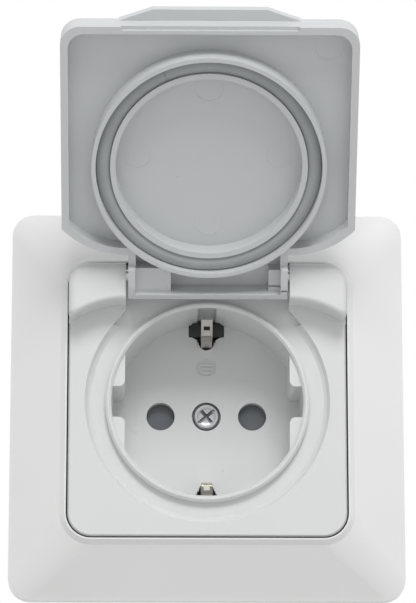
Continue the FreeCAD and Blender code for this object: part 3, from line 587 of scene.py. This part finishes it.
def lozenge(centre: tuple, halves: tuple, power: Number, steps: int) -> np.ndarray:
    """Rounded block as a superellipsoid.

    With s(t, p) = sign(t) |t|^p, a point at latitude u and longitude v is
    (a s(cos u, p) s(cos v, p), b s(cos u, p) s(sin v, p), c s(sin u, p)) from the centre.

    Args:
        centre: middle point.
        halves: half sizes along the three axes.
        power: 1 is an ellipsoid and towards 0 is a box.
        steps: points round the longitude.

    Returns:
        Grid of points, latitudes by longitudes.
    """
    latitude = np.linspace(-math.pi / 2, math.pi / 2, steps // 2 + 1)[:, None]
    longitude = even_turn(steps)[None, :]
    level = signed_power(np.cos(latitude), power)
    x = level * signed_power(np.cos(longitude), power)
    y = level * signed_power(np.sin(longitude), power)
    z = signed_power(np.sin(latitude), power) * np.ones_like(longitude)
    return np.array(centre) + np.array(halves) * np.stack([x, y, z], axis=2)


def rounded_squares(half: Number, corner: Number, lift: Number, grow: np.ndarray,
                    steps: int) -> np.ndarray:
    """Points round a square with rounded corners, and round squares that grow out of it.

    Each corner is a quarter circle about a point at half minus corner from the middle, the
    straight sides join the quarter circles, and a grown square's corners have a radius that is
    larger by its growth.

    Args:
        half: half the square's width.
        corner: the corners' radius.
        lift: height of its middle.
        grow: how far each square lies outside the first.
        steps: points on each corner.

    Returns:
        Points given as x and z, squares by points round them.
    """
    quarter = np.linspace(0, math.pi / 2, steps)
    turn = np.concatenate([quarter + k * math.pi / 2 for k in range(4)])
    signs = np.repeat(np.array([[1, 1], [-1, 1], [-1, -1], [1, -1]]), steps, axis=0)
    outward = np.stack([np.cos(turn), np.sin(turn)], axis=1)
    radius = (corner + grow)[:, None, None]
    return signs * (half - corner) + radius * outward + np.array([0, lift])


@dataclass
class RoundRidge:
    """Low ridge that runs round a point of a flat face which looks along Y.

    Its outline rises by relief (1 - q^2) at q half widths from the radius, times 1 minus fade
    times the squared sine of half the turn from its strongest side, and it is turned round the
    middle through its span.
    """

    x: float
    z: float
    radius: float
    half_width: float
    relief: float
    strongest: float = -math.pi / 2
    fade: float = 0.0
    span: float = FULL_TURN
    edge_share: float = 0.02
    steps_across: int = 7
    steps_round: int = 72

    @property
    def closed(self) -> bool:
        """Whether the ridge goes all the way round."""
        return self.span >= FULL_TURN

    def points(self, face_y: float, outward: float) -> np.ndarray:
        """Grid of the ridge's points.

        Args:
            face_y: where the face lies.
            outward: 1 where the face looks along +Y and -1 along -Y.

        Returns:
            Points, round the ridge by across it.
        """
        q = np.linspace(-1, 1, self.steps_across)
        half = self.span / 2
        away = np.linspace(-half, half, self.steps_round, endpoint=not self.closed)[:, None]
        turn = self.strongest + away
        share = 1 - self.fade * np.sin(away / 2) ** 2
        crest = np.maximum(1 - q ** 2, self.edge_share) * self.relief
        rise = np.concatenate([crest, np.full(q.size, -self.relief)])
        reach = self.radius + self.half_width * np.concatenate([q, q[::-1]])
        depth = face_y + outward * rise * np.where(rise > 0, share, 1.0)
        x = self.x + reach * np.cos(turn)
        return np.stack([x, depth, self.z + reach * np.sin(turn)], axis=2)

    def piece(self, name: str, slot: str, body: Body, points: np.ndarray) -> bpy.types.Object:
        """Make the piece from the ridge's points, in place or turned."""
        return Surface(points, wrap_rows=self.closed).piece(name, slot, body)


# Sub-assemblies


def dress(nodes: Iterable[str]) -> None:
    """Give solids of the frame the finish of their record slot.

    Args:
        nodes: names of the solids.
    """
    slots = {part["node"]: part["material_slot"] for part in frame["record"]["subparts"]}
    for node in nodes:
        target = frame["nodes"][node]
        for holder in target.material_slots:
            holder.material = finish_of(slots[node])
        log.info("%s: dressed as %s", node, slots[node])


def node_box(node: str) -> tuple[np.ndarray, np.ndarray]:
    """Lowest and highest corner of a solid."""
    low, high = (np.array(corner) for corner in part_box(node))
    return low, high


@dataclass
class Surround:
    """Sloped frame with the seals in front of and behind it."""

    nodes: tuple = ("cover_frame", "insert_gasket", "wall_gasket")

    def build(self) -> None:
        """Dress the solids."""
        dress(self.nodes)


@dataclass
class InsertPlate:
    """Moulded plate with its well, and the earth sign on the well's floor."""

    nodes: tuple = ("socket_insert", "earth_strip", "shutter", "hinge_pin_left", "hinge_pin_right")
    slot: str = "insert_plastic"
    floor_y: float = 6.5 * MM
    sign_z: float = 10.9 * MM
    stroke: float = 0.27 * MM
    relief: float = 0.38 * MM
    stroke_power: float = 0.45
    stroke_steps: int = 24
    upright_rise: float = 0.748 * MM
    upright_half: float = 0.714 * MM
    bar_half: float = 1.7 * MM
    bar_shares: tuple = (1.0, 0.76, 0.52)
    bar_pitch: float = 0.816 * MM
    ring_drop: float = 0.4896 * MM
    ring_radius: float = 1.904 * MM
    ring_half_width: float = 0.216 * MM
    ring_relief: float = 0.266 * MM
    ring_span: float = math.radians(250)
    ring_fade: float = 0.5

    def build(self) -> None:
        """Dress the solids and add the sign."""
        dress(self.nodes)
        self.sign()

    def bar(self, name: str, z: float, half_x: float, half_z: float) -> bpy.types.Object:
        """One raised stroke of the sign.

        Args:
            name: the piece's name.
            z: height of its middle.
            half_x: half its width.
            half_z: half its height.

        Returns:
            The piece.
        """
        points = lozenge((0.0, self.floor_y, z), (half_x, self.relief, half_z),
                         self.stroke_power, self.stroke_steps)
        return Surface(points, capped=False).piece(name, self.slot, Body.HOUSING)

    def sign(self) -> None:
        """Earth sign: an upright over three shortening bars, in a ring that is open on top."""
        upright_z = self.sign_z + self.upright_rise
        self.bar("earth_sign_upright", upright_z, self.stroke, self.upright_half)
        for number, share in enumerate(self.bar_shares):
            z = self.sign_z - number * self.bar_pitch
            self.bar(f"earth_sign_bar_{number}", z, self.bar_half * share, self.stroke)
        ring = RoundRidge(0.0, self.sign_z - self.ring_drop, self.ring_radius,
                          self.ring_half_width, self.ring_relief,
                          span=self.ring_span, fade=self.ring_fade)
        points = ring.points(self.floor_y, -1.0)
        ring.piece("earth_sign_ring", self.slot, Body.HOUSING, points)


@dataclass
class CombinationScrew:
    """Pan screw whose head takes a cross or a flat blade, both recesses turned by one angle."""

    node: str = "centre_screw"
    slot: str = "zinc_screw"
    # depths below the head's front over which the recesses darken, as painted shade
    painted_shade: tuple = (0.25 * MM, 0.6 * MM)
    darkening: float = 0.66
    head_height: float = 1.5 * MM
    chamfer: float = 0.35 * MM
    shank: float = 1.5 * MM
    tip_share: float = 0.3
    eye: float = 0.02 * MM
    turned: float = math.radians(40)
    dish_radius: float = 1.95 * MM
    dish_depth: float = 0.16 * MM
    dish_power: int = 6
    cross_reach: float = 1.65 * MM
    cross_half: float = 0.36 * MM
    cross_depth: float = 0.85 * MM
    cross_taper: float = 0.45
    blade_reach: float = 2.2 * MM
    blade_half: float = 0.26 * MM
    blade_depth: float = 0.42 * MM
    edge: float = 0.09 * MM
    face_steps: int = 70
    turn_steps: int = 160

    def soft(self, inside: np.ndarray) -> np.ndarray:
        """Rise from 0 to 1 as t^2 (3 - 2 t), with t the share of the edge's width."""
        t = np.clip(inside / self.edge, 0, 1)
        return t * t * (3 - 2 * t)

    def arm(self, along: np.ndarray, across: np.ndarray, reach: float, half: float) -> np.ndarray:
        """1 inside a straight recess and 0 outside, with a soft edge between.

        The value is s(half - |across|) s(reach - |along|), with s the soft rise over the edge.

        Args:
            along: distance from the axis along the recess.
            across: distance from its middle line.
            reach: half its length.
            half: half its width.

        Returns:
            Shares from 0 to 1.
        """
        return self.soft(half - np.abs(across)) * self.soft(reach - np.abs(along))

    def sink(self, radius: np.ndarray, turn: np.ndarray) -> np.ndarray:
        """Depth of the head's face below its rim.

        It is the largest of the dish, the cross and the blade's slot, where the dish is its depth
        times 1 minus a power of the radius and the cross gets shallower towards its ends.

        Args:
            radius: distance from the axis.
            turn: angle round the axis.

        Returns:
            Depths in metres.
        """
        u = radius * np.cos(turn - self.turned)
        v = radius * np.sin(turn - self.turned)
        dished = np.clip(radius / self.dish_radius, 0, 1) ** self.dish_power
        dish = self.dish_depth * (1 - dished)
        taper = 1 - self.cross_taper * np.clip(radius / self.cross_reach, 0, 1)
        arms = np.maximum(self.arm(u, v, self.cross_reach, self.cross_half),
                          self.arm(v, u, self.cross_reach, self.cross_half))
        blade = self.arm(u, v, self.blade_reach, self.blade_half) * self.blade_depth
        return np.maximum(np.maximum(dish, arms * self.cross_depth * taper), blade)

    def build(self) -> None:
        """Make the screw as one surface of revolution whose face is sunk by the recesses."""
        low, high = node_box(self.node)
        middle = (low + high) / 2
        head = (high[0] - low[0]) / 2
        seat = low[1] + self.head_height
        face = np.linspace(self.eye, head - self.chamfer, self.face_steps)
        side_radius = [head, head, self.shank, self.shank, self.shank * self.tip_share]
        side_depth = [low[1] + self.chamfer, seat, seat, high[1] - self.chamfer, high[1]]
        radius = np.append(face, side_radius)[:, None]
        depth = np.append(np.full(face.size, low[1]), side_depth)[:, None]
        turn = even_turn(self.turn_steps)[None, :]
        on_face = np.arange(radius.size)[:, None] < face.size
        y = depth + np.where(on_face, self.sink(radius, turn), 0.0)
        x = middle[0] + radius * np.cos(turn)
        points = np.stack([x, y, middle[2] + radius * np.sin(turn)], axis=2)
        screw = Surface(points).piece("combination_screw", self.slot, Body.HOUSING)
        screw.material_slots[0].material = self.material(float(low[1]))
        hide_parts(self.node)

    def material(self, front: float) -> bpy.types.Material:
        """Build the slot's finish, darker overall, with painted shade in the recesses.

        Args:
            front: where the head's front lies along Y.

        Returns:
            The material.
        """
        plain = FINISHES[self.slot]
        # the recesses' painted shade runs between these depths
        sunk = tuple(front + depth for depth in self.painted_shade)
        dull = shade(plain.colour, self.darkening)
        return replace(plain, name="recessed_screw", colour=dull, sunk=sunk).material()


@dataclass
class GapShadeLip:
    """Black lip in the gap between plate and frame, painted shade that makes the gap show dark."""

    half: float = 28.35 * MM
    corner: float = 4.95 * MM
    corner_steps: int = 10
    lift: float = 0.4 * MM
    half_width: float = 0.14 * MM
    front: float = -9.38 * MM
    back: float = -6.6 * MM

    def build(self) -> None:
        """Make the lip, whose pointed outline is carried round a rounded square."""
        across = np.array([-1.0, -1.0, 0.0, 1.0, 1.0]) * self.half_width
        shoulder = self.front + self.half_width
        depth = np.array([self.back, shoulder, self.front, shoulder, self.back])
        flat = rounded_squares(self.half, self.corner, self.lift, across, self.corner_steps)
        y = np.broadcast_to(depth[:, None], flat.shape[:2])
        points = np.stack([flat[..., 0], y, flat[..., 1]], axis=2)
        # painted shade: a black strip that darkens the gap line
        Surface(points, wrap_rows=True).piece("gap_shade_lip", "black_rubber", Body.HOUSING)


@dataclass
class EarthClips:
    """Sprung ends of the earth clips, and dark blocks behind their openings' wings, painted shade of the hollows
    there.

    The tail's bulge, crest and end are places in depth and height.
    """

    tail_half_width: float = 1.12 * MM
    tail_thickness: float = 0.3 * MM
    tail_steps: int = 40
    edge_power: float = 0.35
    edge_steps: int = 20
    bulge: tuple = (-0.4 * MM, 15.3 * MM)
    crest: tuple = (1.2 * MM, 14.95 * MM)
    end: tuple = (8.0 * MM, 14.6 * MM)
    chamber_half_width: float = 3.62 * MM
    chamber_height: tuple = (16.95 * MM, 19.95 * MM)
    chamber_depth: tuple = (6.5 * MM, 8.6 * MM)
    chamber_power: float = 0.12
    chamber_steps: int = 48

    def build(self) -> None:
        """Make the tails and then the chambers' painted shade, each for the upper and the lower clip."""
        for clip in Clip:
            self.tail(clip)
        for clip in Clip:
            self.chamber(clip)

    def tail(self, clip: Clip) -> None:
        """Make one tail.

        Its path goes straight from the bulge to the crest and on to the end, and the outline that
        is carried along it is a flat box with rounded edges, s(cos v) by s(sin v) with
        s(t) = sign(t) |t|^p.

        Args:
            clip: the clip that it ends.
        """
        known_y, known_z = np.array([self.bulge, self.crest, self.end]).T
        y = np.linspace(known_y[0], known_y[-1], self.tail_steps)
        z = np.interp(y, known_y, known_z) * clip.value
        path = np.stack([np.zeros_like(y), y, z], axis=1)
        across = np.broadcast_to([1.0, 0.0, 0.0], path.shape)
        outline = signed_power(round_profile(1.0, self.edge_steps), self.edge_power)
        profile = outline * np.array([self.tail_half_width, self.tail_thickness / 2])
        name = f"clip_tail_{clip.name.lower()}"
        Surface(sweep(path, across, profile)).piece(name, "plated_strip", Body.HOUSING)

    def chamber(self, clip: Clip) -> None:
        """Make one chamber's painted shade as a dark flat block with rounded edges.

        Args:
            clip: the clip that it lies behind.
        """
        (near, far), (low, high) = self.chamber_depth, self.chamber_height
        centre = (0.0, (near + far) / 2, clip.value * (low + high) / 2)
        halves = (self.chamber_half_width, (far - near) / 2, (high - low) / 2)
        points = lozenge(centre, halves, self.chamber_power, self.chamber_steps)
        name = f"earth_chamber_shade_{clip.name.lower()}"
        Surface(points, capped=False).piece(name, "base_plastic", Body.HOUSING)


@dataclass
class CheekCover:
    """Skin over the spring's recess at the inner end of the left cheek."""

    middle: tuple = (-17.35 * MM, -15.64 * MM, 25.1 * MM)
    halves: tuple = (0.75 * MM, 0.075 * MM, 0.8 * MM)
    power: float = 0.2
    steps: int = 32

    def build(self) -> None:
        """Make the skin as a flat block with rounded edges."""
        points = lozenge(self.middle, self.halves, self.power, self.steps)
        Surface(points, capped=False).piece("cheek_skin", "insert_plastic", Body.HOUSING)


def joint(name: str) -> dict:
    """The record's entry for a joint."""
    return next(entry for entry in frame["joints"] if entry["name"] == name)


@dataclass
class HingeTurn:
    """Turns points of the closed lid to where the open lid stands.

    A point at (y, z) from the hinge goes to (y cos t - z sin t, y sin t + z cos t), with t minus
    the joint's upper limit, which is the closed place.
    """

    pivot: np.ndarray = field(default_factory=lambda: np.array(joint("lid_hinge")["pos_m"]))
    angle: float = field(default_factory=lambda: -math.radians(joint("lid_hinge")["range_deg"][1]))

    def open(self, points: np.ndarray) -> np.ndarray:
        """Turn points about the hinge.

        Args:
            points: points of the closed lid.

        Returns:
            The same points on the open lid.
        """
        x, y, z = np.moveaxis(points - self.pivot, -1, 0)
        cosine, sine = math.cos(self.angle), math.sin(self.angle)
        turned = np.stack([x, y * cosine - z * sine, y * sine + z * cosine], axis=-1)
        return self.pivot + turned


@dataclass
class Lid:
    """Hinged lid with its seal, spring and the marks of its mould.

    Each mark has its name, its place from the well's axis in millimetres with the lid closed, and
    the side in degrees where it is strongest.
    """

    nodes: tuple = ("hinged_lid",)
    turn: HingeTurn = field(default_factory=HingeTurn)
    inner_face: float = -14.1 * MM
    seal_inner: float = 19.85 * MM
    seal_outer: float = 22.5 * MM
    seal_front: float = -10.05 * MM
    seal_crown: float = 0.55 * MM
    seal_cut_angle: float = math.radians(-114.5)
    seal_cut: float = 0.06 * MM
    seal_steps: tuple = (161, 17)
    coil_radius: float = 1.75 * MM
    coil_wire: float = 0.25 * MM
    coil_turns: float = 5.0
    coil_pitch: float = 0.8 * MM
    coil_start: float = -14.5 * MM
    coil_steps: int = 161
    wire_steps: int = 10
    foot: float = 1.6 * MM
    foot_steps: int = 7
    tang: float = 2.6 * MM
    tang_steps: int = 12
    mark_radius: float = 2.7 * MM
    mark_half_width: float = 0.13 * MM
    mark_relief: float = 0.09 * MM
    mark_fade: float = 0.9
    mark_places: tuple = (("top", 0.0, -15.2, 90.0), ("left", -14.2, -1.2, 45.0),
                          ("right", 14.2, -1.2, 135.0), ("low", 0.0, 13.4, 80.0),
                          ("corner", 23.6, -24.0, 120.0))

    def build(self) -> None:
        """Dress the solids and add the seal, the spring and the marks."""
        dress(self.nodes)
        self.seal()
        self.spring()
        self.marks()

    def seal(self) -> None:
        """Seal ring with a crowned face, cut once and butted together.

        The face lies at front - crown (2 t - 1)^2 for t from 0 at the inner side to 1 at the
        outer, and the outline is turned round the well's axis from one side of the cut to the
        other.
        """
        steps_round, steps_across = self.seal_steps
        t = np.linspace(0, 1, steps_across)
        radius = self.seal_inner + t * (self.seal_outer - self.seal_inner)
        face = self.seal_front - self.seal_crown * (2 * t - 1) ** 2
        radii = np.concatenate([radius, radius[::-1]])
        depth = np.concatenate([face, np.full_like(face, self.inner_face)])
        half_cut = self.seal_cut / (self.seal_inner + self.seal_outer)
        span = np.linspace(half_cut, FULL_TURN - half_cut, steps_round)
        turn = self.seal_cut_angle + span[:, None]
        y = np.broadcast_to(depth, (turn.size, depth.size))
        points = np.stack([radii * np.cos(turn), y, radii * np.sin(turn)], axis=2)
        ring = Surface(self.turn.open(points)).piece("seal_ring", "grey_rubber", Body.LID)
        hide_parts("lid_seal")

    def spring(self) -> None:
        """Coil on the left pin with a straight tang at each end.

        The wire's middle is at the coil's radius round the hinge line, at an angle of a full turn
        per pitch, and the tangs go on along the hinge line from the coil's ends.
        """
        length = self.coil_turns * self.coil_pitch
        along = np.concatenate([
            np.linspace(-self.tang, 0, self.tang_steps, endpoint=False),
            np.linspace(0, length, self.coil_steps),
            length + np.linspace(0, self.foot, self.foot_steps + 1)[1:],
        ])
        angle = FULL_TURN * np.clip(along, 0, length) / self.coil_pitch
        side = np.stack([np.zeros_like(angle), np.cos(angle), np.sin(angle)], axis=1)
        path = self.turn.pivot + self.coil_radius * side
        path[:, 0] = self.coil_start + along
        points = sweep(path, side, round_profile(self.coil_wire, self.wire_steps))
        coil = Surface(points).piece("hinge_coil", "spring_steel", Body.LID)
        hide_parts("lid_spring")

    def marks(self) -> None:
        """Round marks left by the mould's ejectors on the lid's inner face."""
        for where, x, z, strongest in self.mark_places:
            ridge = RoundRidge(x * MM, z * MM, self.mark_radius, self.mark_half_width,
                               self.mark_relief, math.radians(strongest), self.mark_fade)
            points = self.turn.open(ridge.points(self.inner_face, 1.0))
            ridge.piece(f"mould_mark_{where}", "lid_plastic", Body.LID, points)


@dataclass
class Mechanism:
    """Housing behind the plate, with contacts, terminals, claws and screws."""

    nodes: tuple = (
        "socket_base", "rear_cover", "rear_rivets", "contact_cover", "contact_left",
        "contact_right", "terminal_left", "terminal_right", "terminal_earth", "terminal_screws",
        "shutter_spring", "support_plate", "base_rivets", "claw_left", "claw_right",
        "claw_screw_left", "claw_screw_right")
    threaded: tuple = ("claw_screw_left", "claw_screw_right")
    shank: float = 1.4 * MM
    plain_length: float = 3.2 * MM
    pitch: float = 0.5 * MM
    root_depth: float = 0.16 * MM
    root_half: float = 0.21 * MM
    crest_height: float = 0.128 * MM
    crest_half: float = 0.0315 * MM
    steps_per_turn: int = 24

    def build(self) -> None:
        """Dress the solids and put a thread on both claw screws."""
        dress(self.nodes)
        for node in self.threaded:
            self.thread(node)

    def thread(self, node: str) -> None:
        """Thread ridge on a screw's shank.

        Its outline narrows from root to crest, and is carried along a helix of the shank's radius
        with one turn per pitch.

        Args:
            node: the screw's solid.
        """
        low, high = node_box(node)
        middle = (low + high) / 2
        turns = (high[1] - low[1] - self.plain_length - self.pitch) / self.pitch
        angle = np.linspace(0, FULL_TURN * turns, int(turns * self.steps_per_turn))
        side = np.stack([np.cos(angle), np.zeros_like(angle), np.sin(angle)], axis=1)
        path = self.shank * side + np.array([middle[0], 0.0, middle[2]])
        path[:, 1] = low[1] + self.plain_length + angle / FULL_TURN * self.pitch
        profile = np.array([[-self.root_depth, -self.root_half],
                            [-self.root_depth, self.root_half],
                            [self.crest_height, self.crest_half],
                            [self.crest_height, -self.crest_half]])
        Surface(sweep(path, side, profile)).piece(f"{node}_thread", "zinc_screw", Body.HOUSING)


# Studio


@dataclass(frozen=True)
class Lamp:
    """Large soft square lamp that faces the socket."""

    name: str
    place: tuple
    side: float
    watts: float

    def build(self) -> None:
        """Hang the lamp."""
        light = bpy.data.lights.new(self.name, "AREA")
        light.shape = "SQUARE"
        light.size = self.side
        light.energy = self.watts
        holder = bpy.data.objects.new(self.name, light)
        holder.location = self.place
        holder.rotation_euler = (-Vector(self.place)).to_track_quat("-Z", "Y").to_euler()
        bpy.context.scene.collection.objects.link(holder)
        log.info("%s: %.1f watts", self.name, self.watts)


@dataclass
class Studio:
    """Floor, backdrop, lights and the camera at the photograph's view, in metres."""

    image_height: int = 603
    focal_pixels: float = 3313.6
    sensor_height: float = 24.0
    clip_start: float = 0.01
    distance: float = 0.6815
    rise_angle: float = math.radians(11.77)
    tilt: float = math.radians(13.65)
    yaw: float = math.radians(0.81)
    sideways: float = -0.00945
    white: Colour = (1.0, 1.0, 1.0)
    pale: Colour = (0.75, 0.75, 0.75)
    pale_roughness: float = 0.9
    floor_white: float = 0.75
    floor_z: float = -0.30
    floor_front: float = -2.5
    half_width: float = 2.5
    wall_y: float = 1.6
    wall_top: float = 3.0
    bend_radius: float = 0.3
    bend_steps: int = 25
    daylight: float = 0.53
    lamps: tuple = (Lamp("main_lamp", (0.08, -0.95, 0.85), 0.5, 9.1),
                    Lamp("side_lamp", (0.95, -0.55, 0.25), 0.6, 0.4))

    def build(self) -> None:
        """Set up everything round the object."""
        self.camera()
        for lamp in self.lamps:
            lamp.build()
        self.stage()
        self.world()
        bpy.context.scene.view_settings.view_transform = "Standard"
        log.info("studio ready")

    def camera(self) -> None:
        """Camera below the socket, looking up at it."""
        lens = bpy.data.cameras.new("camera")
        lens.sensor_fit = "VERTICAL"
        lens.sensor_height = self.sensor_height
        lens.lens = self.focal_pixels * self.sensor_height / self.image_height
        lens.clip_start = self.clip_start
        holder = bpy.data.objects.new("camera", lens)
        away = -math.cos(self.rise_angle) * self.distance
        holder.location = (self.sideways, away, -math.sin(self.rise_angle) * self.distance)
        level = math.cos(self.tilt) * math.cos(self.yaw)
        look = Vector((math.sin(self.yaw), level, math.sin(self.tilt)))
        holder.rotation_euler = look.to_track_quat("-Z", "Y").to_euler()
        bpy.context.scene.collection.objects.link(holder)
        bpy.context.scene.camera = holder

    def pale_material(self, name: str, share: Number) -> bpy.types.Material:
        """Pale matt surface that shows whiter than it is lit.

        Args:
            name: the material's name.
            share: share of plain white in what the camera sees, where 1 hides every shadow.

        Returns:
            The material.
        """
        sheet = ShaderSheet(name)
        sheet.finish({"Base Color": self.pale, "Roughness": self.pale_roughness})
        glow = sheet.node("ShaderNodeEmission", {}, {"Color": self.white, "Strength": 1.0})
        surface = Term(sheet, sheet.shader.outputs[0])
        inputs = {0: sheet.seen() * share, 1: surface, 2: glow}
        mixed = sheet.node("ShaderNodeMixShader", {}, inputs)
        sheet.feed(sheet.find("OUTPUT_MATERIAL").inputs["Surface"], mixed)
        return sheet.material

    def strip(self, name: str, y: np.ndarray, z: np.ndarray, share: Number) -> None:
        """Sheet of the stage, which carries an outline straight across.

        Args:
            name: the sheet's name.
            y: the outline's places in depth.
            z: its heights.
            share: share of plain white in what the camera sees.
        """
        x = np.array([-self.half_width, self.half_width])[:, None] * np.ones(y.size)
        points = np.stack(np.broadcast_arrays(x, y, z), axis=2)
        faces = grid_faces(2, y.size, False, False)
        mesh = bpy.data.meshes.new(name)
        mesh.from_pydata(points.reshape(-1, 3).tolist(), [], faces.tolist())
        mesh.shade_smooth()
        mesh.materials.append(self.pale_material(name, share))
        made = bpy.data.objects.new(name, mesh)
        bpy.context.scene.collection.objects.link(made)

    def stage(self) -> None:
        """Level floor, and a backdrop that turns up through a quarter circle behind the socket."""
        start = self.wall_y - self.bend_radius
        floor = np.array([self.floor_front, start])
        self.strip("floor", floor, np.full(2, self.floor_z), self.floor_white)
        bend = np.linspace(0, math.pi / 2, self.bend_steps)
        y = np.append(start + self.bend_radius * np.sin(bend), self.wall_y)
        z = np.append(self.floor_z + self.bend_radius * (1 - np.cos(bend)), self.wall_top)
        self.strip("backdrop", y, z, 1.0)

    def world(self) -> None:
        """Even pale light from all round, which shows as plain white."""
        world = bpy.data.worlds.new("studio")
        sheet = NodeSheet(world)
        back = sheet.find("BACKGROUND")
        sheet.feed(back.inputs["Color"], self.white)
        inputs = {"Value": sheet.seen(), "To Min": self.daylight}
        sheet.feed(back.inputs["Strength"], sheet.node("ShaderNodeMapRange", {}, inputs))
        bpy.context.scene.world = world


def main() -> None:
    """Dress the solids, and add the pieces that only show."""
    logging.basicConfig(level=logging.INFO, format="%(name)s: %(message)s")
    for assembly in (Surround(), InsertPlate(), CombinationScrew(), GapShadeLip(), EarthClips(),
                     CheekCover(), Lid(), Mechanism(), Studio()):
        assembly.build()


if __name__ == "__main__":
    main()
